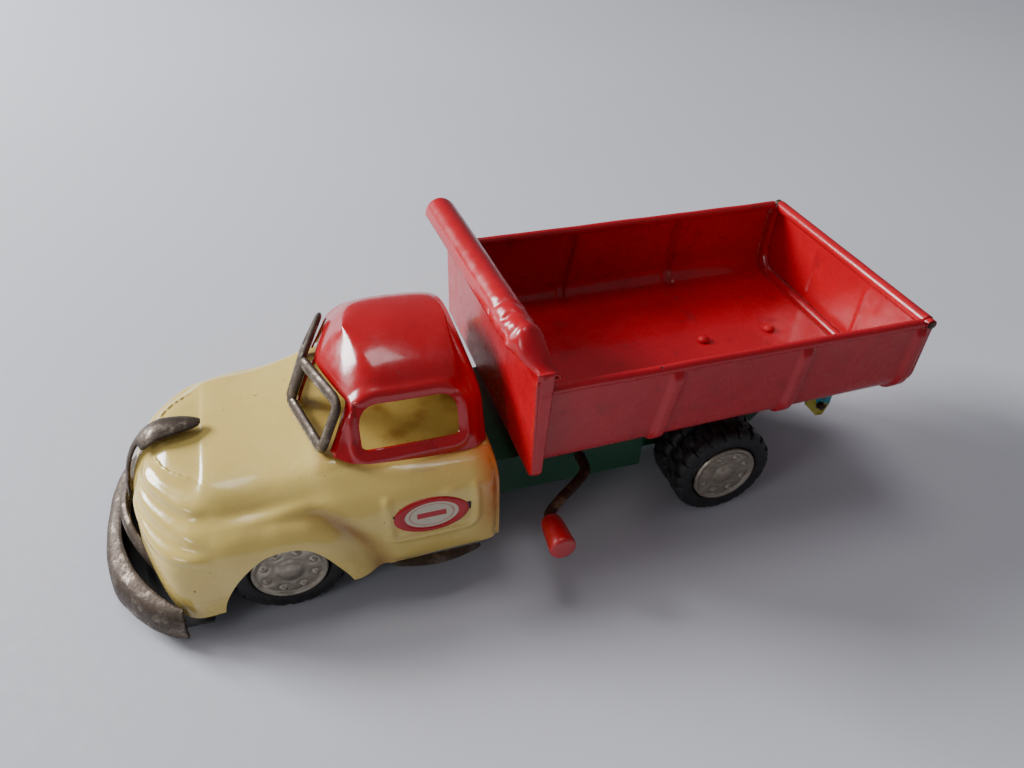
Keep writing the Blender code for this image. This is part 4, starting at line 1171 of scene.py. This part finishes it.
@dataclass
class BedTub:
    """The open bed: rolled rims, pressed ribs, and a floor that turns up into the sides."""

    half_width: float = 30.6
    tin: float = 0.5
    floor: float = 32.0
    rim_z: float = 51.1
    rim_radius: float = 1.1
    front: float = -5.4
    rear: float = 88.4
    ribs: tuple = ((24.5, 3.2), (55.5, 2.0), (85.5, 0.4))
    rib_height: float = 1.0
    rows: int = 260

    def section(self, y: float) -> np.ndarray:
        """Return half of the skin's outer path, from the floor's middle to the end of the rolled rim."""
        fillet = 2.5 + 3.5 * max(0.0, y - self.front) / (self.rear - self.front)
        wall = self.half_width
        under = self.floor - self.tin
        points = [(x, under) for x in np.linspace(0, wall - fillet, 22, endpoint=False)]
        for step in range(9):
            angle = -pi / 2 + pi / 2 * step / 8
            points.append((wall - fillet + fillet * cos(angle), under + fillet + fillet * sin(angle)))
        start = under + fillet
        points += [(wall, z) for z in np.linspace(start, self.rim_z - self.rim_radius + 0.1, 15)[1:]]
        for step in range(15):
            angle = radians(-50 + 21 * step)
            x = wall - 0.43 + self.rim_radius * cos(angle)
            points.append((x, self.rim_z + self.rim_radius * sin(angle)))
        return np.array(points)

    def build(self, finishes: FinishSet) -> None:
        """Press the tub and dress it."""
        half = len(self.section(0.0)) - 1
        cache = {}

        def place(u: float, v: float) -> Vector:
            """Return a point on the tub's outer skin."""
            row = round(v * self.rows)
            if row not in cache:
                cache[row] = self.section(self.front + (self.rear - self.front) * row / self.rows)
            y = self.front + (self.rear - self.front) * row / self.rows
            step = round(u * 2 * half) - half
            x, z = cache[row][abs(step)]
            sign = 1 if step >= 0 else -1
            swell = 0.0
            for station, lean in self.ribs:
                ridge = station + lean * (z - 42.0) / 18.0
                reach = 1.0 if station > 80 else glide(x, 25.0, 28.5)
                swell += self.rib_height * glide(abs(y - ridge), 1.8, 0.9) * reach
            swell *= glide(z, 49.8, 48.6)
            if z < self.floor + 1.0:
                z -= swell * glide(x, 30.0, 26.0)
            x += swell * glide(x, 24.0, 29.5)
            if z > 49.0:
                z += 0.10 * noise.noise(Vector((sign * 4.0, y * 0.09, 2.0)))
                x += 0.14 * noise.noise(Vector((sign * 9.0, y * 0.07, 5.0)))
            if y > self.rear - 2.9 and z > 49.6:
                z = 49.6 + 0.2 * (z - 49.6)
                x = min(x, 30.7)
            skew = 0.02 * sign * x * glide(y, 8.0, self.front)
            return Vector((sign * x, y + skew, z))

        bm = sheet(2 * half, self.rows, place)
        face_towards(bm, Vector((0, 0, -1)))
        piece = make_piece("bed_tub_skin", bm, (finishes.bed_red,), "bed", ["bed_tub"])
        thicken(piece, self.tin)


@dataclass
class Headboard:
    """The headboard: flat panel, side flanges and a big rolled curl, crushed towards the left end."""

    half_width: float = 33.3
    base_y: float = -7.05
    skew: float = 0.02
    tin: float = 0.5
    panel_z: tuple = (30.6, 55.8)
    curl: tuple = ((0.0, 55.8), (0.5, 57.4), (1.5, 59.2), (1.3, 61.1), (0.1, 62.6), (-1.6, 63.3),
                   (-3.2, 62.8), (-4.4, 61.4), (-4.8, 59.4))
    columns: int = 120
    panel_rows: int = 30
    curl_rows: int = 40

    def panel_y(self, x: float) -> float:
        """Return the panel's face at a place along X."""
        return self.base_y + self.skew * x

    def build(self, finishes: FinishSet) -> None:
        """Press the panel with its curl and its two flanges."""
        rolled = spline(self.curl, np.linspace(0, 1, self.curl_rows + 1))
        rows = self.panel_rows + self.curl_rows

        def place(u: float, v: float) -> Vector:
            """Return a point on the panel, then on the curl."""
            x = self.half_width * (2 * u - 1)
            row = round(v * rows)
            foot = 0.9 * glide(abs(x), self.half_width - 1.6, self.half_width)
            turn_in = 0.45 * glide(abs(x), self.half_width - 0.9, self.half_width)
            if row <= self.panel_rows:
                height = self.panel_z[1] - self.panel_z[0] - foot
                z = self.panel_z[0] + foot + height * row / self.panel_rows
                return Vector((x, self.panel_y(x) + turn_in, z))
            forward, z = rolled[row - self.panel_rows]
            slide = 2.4 * (x + self.half_width) / (2 * self.half_width) * min(1.0, (z - 55.8) / 3)
            y = self.panel_y(x) + forward + slide + turn_in
            crush = glide(x, 25.0, 33.3)
            share = (row - self.panel_rows) / self.curl_rows
            z -= crush * 0.84 * (z - self.panel_z[1])
            y += crush * (1.2 - 0.55 * forward)
            far = glide(x, -31.0, -33.3)
            z -= 1.0 * far * glide(share, 0.1, 0.5)
            dent = glide(x, 11.0, 17.0) * glide(x, 30.0, 25.0) * glide(share, 0.3, 0.5)
            wobble = noise.noise(Vector((x * 0.42, share * 4.0, 3.0)))
            z += dent * 1.1 * min(0.0, wobble)
            y += dent * 0.5 * noise.noise(Vector((x * 0.5, share * 4.0, 8.0)))
            z += 0.12 * noise.noise(Vector((x * 0.13, share * 2.0, 1.0)))
            return Vector((x, y, z))

        bm = sheet(self.columns, rows, place)
        face_towards(bm, Vector((0, -1, 0)))
        piece = make_piece("headboard_skin", bm, (finishes.bed_red,), "bed", ["headboard"])
        thicken(piece, self.tin)
        for side in Side:
            top = 57.6 if side is Side.LEFT else 56.4

            def flange(u: float, v: float) -> Vector:
                """Return a point on the side flange."""
                z = 31.5 + (top - 31.5) * v
                depth = (2.0 + 1.5 * v) * u
                x = self.half_width - 0.35 * (1 - glide(u, 0.0, 0.25))
                slot = 0.35 * bell(z - 52.6, 0.25) * glide(u, 0.1, 0.4)
                y = self.panel_y(side.value * self.half_width) + 0.35 + depth
                return Vector((side.value * (x - slot), y, z + 0.5 * glide(u, 0.7, 1.0) * (1 - v)))

            bm = sheet(12, 60, flange)
            face_towards(bm, Vector((side.value, 0, 0)))
            piece = make_piece("headboard_flange_" + side.word, bm, (finishes.bed_red,), "bed", [])
            thicken(piece, self.tin)


@dataclass
class Tailgate:
    """The tailgate: a flat panel that hangs from its rolled top edge."""

    half_width: float = 29.7
    axis_y: float = 87.2
    axis_z: float = 50.8
    roll: float = 1.5
    foot_z: float = 32.5
    chamfer: float = 5.2
    lines_x: float = 10.5

    def build(self, finishes: FinishSet) -> None:
        """Press the panel and its roll, and dress both."""
        flat = 36
        arc = 24

        def place(u: float, v: float) -> Vector:
            """Return a point on the panel's outer face, then round the roll."""
            x = self.half_width * (2 * u - 1)
            row = round(v * (flat + arc))
            corner = min(1.0, max(0.0, abs(x) - self.half_width + self.chamfer) / self.chamfer)
            foot = self.foot_z + self.chamfer * (1 - sqrt(1 - 0.98 * corner * corner))
            neck = self.axis_z - self.roll * 0.97
            if row <= flat:
                z = foot + (neck - foot) * row / flat
                line = bell(abs(x) - self.lines_x, 0.55) * glide(z, 33.5, 35.5) * glide(z, 48.8, 47.5)
                bulge = 0.12 * noise.noise(Vector((x * 0.08, z * 0.1, 6.0)))
                return Vector((x, self.axis_y + 0.28 - 0.32 * line + bulge, z))
            angle = radians(-76 + 318 * (row - flat) / arc)
            wave = 0.06 * noise.noise(Vector((x * 0.12, 0.0, 3.0)))
            y = self.axis_y + self.roll * cos(angle)
            return Vector((x, y, self.axis_z + self.roll * sin(angle) + wave))

        bm = sheet(100, flat + arc, place)
        face_towards(bm, Vector((0, 1, 0)))
        piece = make_piece("tailgate_skin", bm, (finishes.bed_red,), "tailgate", ["tailgate"])
        thicken(piece, 0.45)


@dataclass
class CornerEars:
    """The loops of tin at the bed's rear corners that hold the tailgate's pins."""

    axis_y: float = 87.2
    axis_z: float = 50.8
    x: float = 30.5

    def build(self, finishes: FinishSet) -> None:
        """Bend one loop at each corner."""
        for side in Side:
            def place(u: float, v: float) -> Vector:
                """Return a point on the loop round the pin."""
                angle = radians(-35 + 250 * u)
                return Vector((side.value * (self.x - 1.1 + 1.7 * v), self.axis_y - 1.32 * cos(angle),
                               self.axis_z + 1.32 * sin(angle) - 0.02))

            bm = sheet(26, 6, place)
            face_towards(bm, Vector((0, 0, 1)))
            finish = finishes.bed_red if side is Side.LEFT else finishes.plate
            piece = make_piece("corner_ear_" + side.word, bm, (finish,), "bed", [])
            thicken(piece, 0.22)


# ---------------------------------------------------------------- crank

@dataclass
class Crank:
    """The bent wire crank and its red grip."""

    axis: tuple = (11.5, 18.0)
    grip: tuple = (-1.2, 16.5)
    wire_radius: float = 1.2
    throw: float = 7.0

    def path(self) -> np.ndarray:
        """Return the wire's centre line."""
        y, z = self.axis
        grip_y, grip_z = self.grip
        low = z - self.throw
        posts = ((-20.5, y, z), (-14, y, z), (-6.0, y, z), (-4.0, y, z - 1.5), (-3.6, y, z - 5.5),
                 (-2.0, y, low), (2.0, y, low), (3.6, y, z - 5.5), (4.0, y, z - 1.5), (6.0, y, z),
                 (14, y, z), (21.0, y, z),
                 (23.6, y - 1.3, z + 0.3), (26.3, y - 4.4, z + 0.5), (29.4, y - 9.0, z + 0.1),
                 (31.2, grip_y + 0.9, grip_z + 0.4), (33.0, grip_y, grip_z), (39.0, grip_y, grip_z))
        return spline(posts, np.linspace(0, 1, 171))

    def build(self, finishes: FinishSet) -> None:
        """Bend the wire and mould the grip."""
        points = [Vector(p) for p in self.path()]
        count = len(points) - 1
        side = Vector((0, 1, 0))
        frames = []
        for i, point in enumerate(points):
            ahead = (points[min(i + 1, count)] - points[max(i - 1, 0)]).normalized()
            side = (side - ahead * side.dot(ahead)).normalized()
            frames.append((point, side.copy(), ahead.cross(side)))

        def wire(u: float, v: float) -> Vector:
            """Return a point on the wire, whose ends close to a point."""
            row = round(v * (count + 2)) - 1
            point, first, second = frames[min(max(row, 0), count)]
            radius = 0.0 if row in (-1, count + 1) else self.wire_radius
            angle = 2 * pi * u
            return point + first * (radius * cos(angle)) + second * (radius * sin(angle))

        bm = sheet(18, count + 2, wire)
        make_piece("crank_wire_bent", bm, (finishes.wire,), "crank", ["crank_shaft"])
        profile = [(1.5, 39.6), (1.5, 33.5), (1.75, 33.2), (2.1, 33.3), (2.45, 34.2), (2.65, 36.5),
                   (2.85, 39.5), (2.98, 41.0), (2.9, 41.55), (2.6, 41.85), (1.6, 41.97), (0.0, 41.98)]
        bm = turn(profile, Vector((0.0, *self.grip)), Vector((1, 0, 0)), 56)
        face_towards(bm, Vector((1, 0, 0)))
        make_piece("crank_grip_moulded", bm, (finishes.grip,), "crank", ["crank_grip"])


# ---------------------------------------------------------------- plain nodes and studio

@dataclass
class RunningGear:
    """The CAD nodes whose shape is right and that only need a finish."""

    green: tuple = ("chassis",)
    black: tuple = ("front_apron",)
    printed: tuple = ("hinge_bracket",)
    plate: tuple = ("tailgate_pin_left", "tailgate_pin_right")
    wire: tuple = ("front_axle", "rear_axle", "hinge_pin")
    hub: tuple = ("rear_inner_hub_left", "rear_inner_hub_right")
    red: tuple = ("bed_rivet_front", "bed_rivet_rear")

    def build(self, nodes: dict, finishes: FinishSet) -> None:
        """Dress each node."""
        groups = ((self.green, finishes.green), (self.black, finishes.soot), (self.printed, finishes.printed),
                  (self.plate, finishes.plate), (self.wire, finishes.wire), (self.hub, finishes.hub),
                  (self.red, finishes.bed_red))
        for names, finish in groups:
            for name in names:
                dress(nodes[name], finish)


@dataclass(frozen=True)
class Lamp:
    """A soft square lamp that looks at the truck; places and sizes in metres, power in watts."""

    name: str
    place: tuple[float, float, float]
    size: float
    power: float
    colour: tuple[float, float, float]

    def hang(self) -> None:
        """Hang the lamp."""
        data = bpy.data.lights.new(self.name, "AREA")
        data.size = self.size
        data.energy = self.power
        data.color = self.colour
        lamp = bpy.data.objects.new(self.name, data)
        lamp.location = self.place
        lamp.rotation_euler = (-Vector(self.place)).to_track_quat("-Z", "Y").to_euler()
        bpy.context.scene.collection.objects.link(lamp)


@dataclass
class Studio:
    """The pale floor, the soft lights and the camera."""

    lamps: tuple = (Lamp("window", (-0.62, -0.85, 0.58), 0.45, 24.0, (0.95, 0.97, 1.0)),
                    Lamp("overhead", (-0.25, -0.1, 1.2), 0.45, 3.2, (0.97, 0.98, 1.0)),
                    Lamp("side", (0.42, -0.95, 0.42), 0.3, 1.8, (0.97, 0.98, 1.0)))
    room_colour: tuple = (0.70, 0.70, 0.78, 1.0)
    room_strength: float = 0.21
    floor_half: float = 1.6
    film_width: float = 36.0
    near_limit: float = 0.005
    eye: tuple = (138.9, -46.4, 146.7)
    target: tuple = (0.0, 0.0, 28.674)
    roll: float = radians(1.9116)
    lens: float = 27.39

    def floor(self) -> None:
        """Lay the floor."""
        bm = bmesh.new()
        bmesh.ops.create_grid(bm, x_segments=4, y_segments=4, size=self.floor_half)
        mesh = bpy.data.meshes.new("floor")
        bm.to_mesh(mesh)
        bm.free()
        mesh.materials.append(Paper().material())
        plane = bpy.data.objects.new("floor", mesh)
        bpy.context.scene.collection.objects.link(plane)

    def camera(self) -> None:
        """Set the camera."""
        eye = (Vector(self.eye) + DATUM_SHIFT) * MM
        ahead = ((Vector(self.target) + DATUM_SHIFT) * MM - eye).normalized()
        level = ahead.cross(Vector((0, 0, 1))).normalized()
        upright = level.cross(ahead)
        right = level * cos(self.roll) + upright * sin(self.roll)
        up = upright * cos(self.roll) - level * sin(self.roll)
        data = bpy.data.cameras.new("camera")
        data.sensor_width = self.film_width
        data.lens = self.lens
        data.clip_start = self.near_limit
        camera = bpy.data.objects.new("camera", data)
        turn_to = Matrix((right, up, -ahead)).transposed().to_4x4()
        camera.matrix_world = Matrix.Translation(eye) @ turn_to
        bpy.context.scene.collection.objects.link(camera)
        bpy.context.scene.camera = camera

    def build(self) -> None:
        """Set the whole studio."""
        self.floor()
        for lamp in self.lamps:
            lamp.hang()
        world = bpy.data.worlds.new("room")
        bpy.context.scene.world = world
        world.use_nodes = True
        back = world.node_tree.nodes["Background"]
        back.inputs["Color"].default_value = self.room_colour
        back.inputs["Strength"].default_value = self.room_strength
        self.camera()


def main() -> None:
    """Build the truck, then the studio."""
    logging.basicConfig(level=logging.INFO, format="%(message)s")
    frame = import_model()
    finishes = FinishSet.make()
    CabBody().build(finishes)
    CabRoof().build(finishes)
    Brightwork().build(finishes)
    DoorBadges().build(finishes)
    for wheel in wheels():
        wheel.build(finishes)
    BedTub().build(finishes)
    Headboard().build(finishes)
    Tailgate().build(finishes)
    CornerEars().build(finishes)
    Crank().build(finishes)
    RunningGear().build(frame["nodes"], finishes)
    Studio().build()


if __name__ == "__main__":
    main()
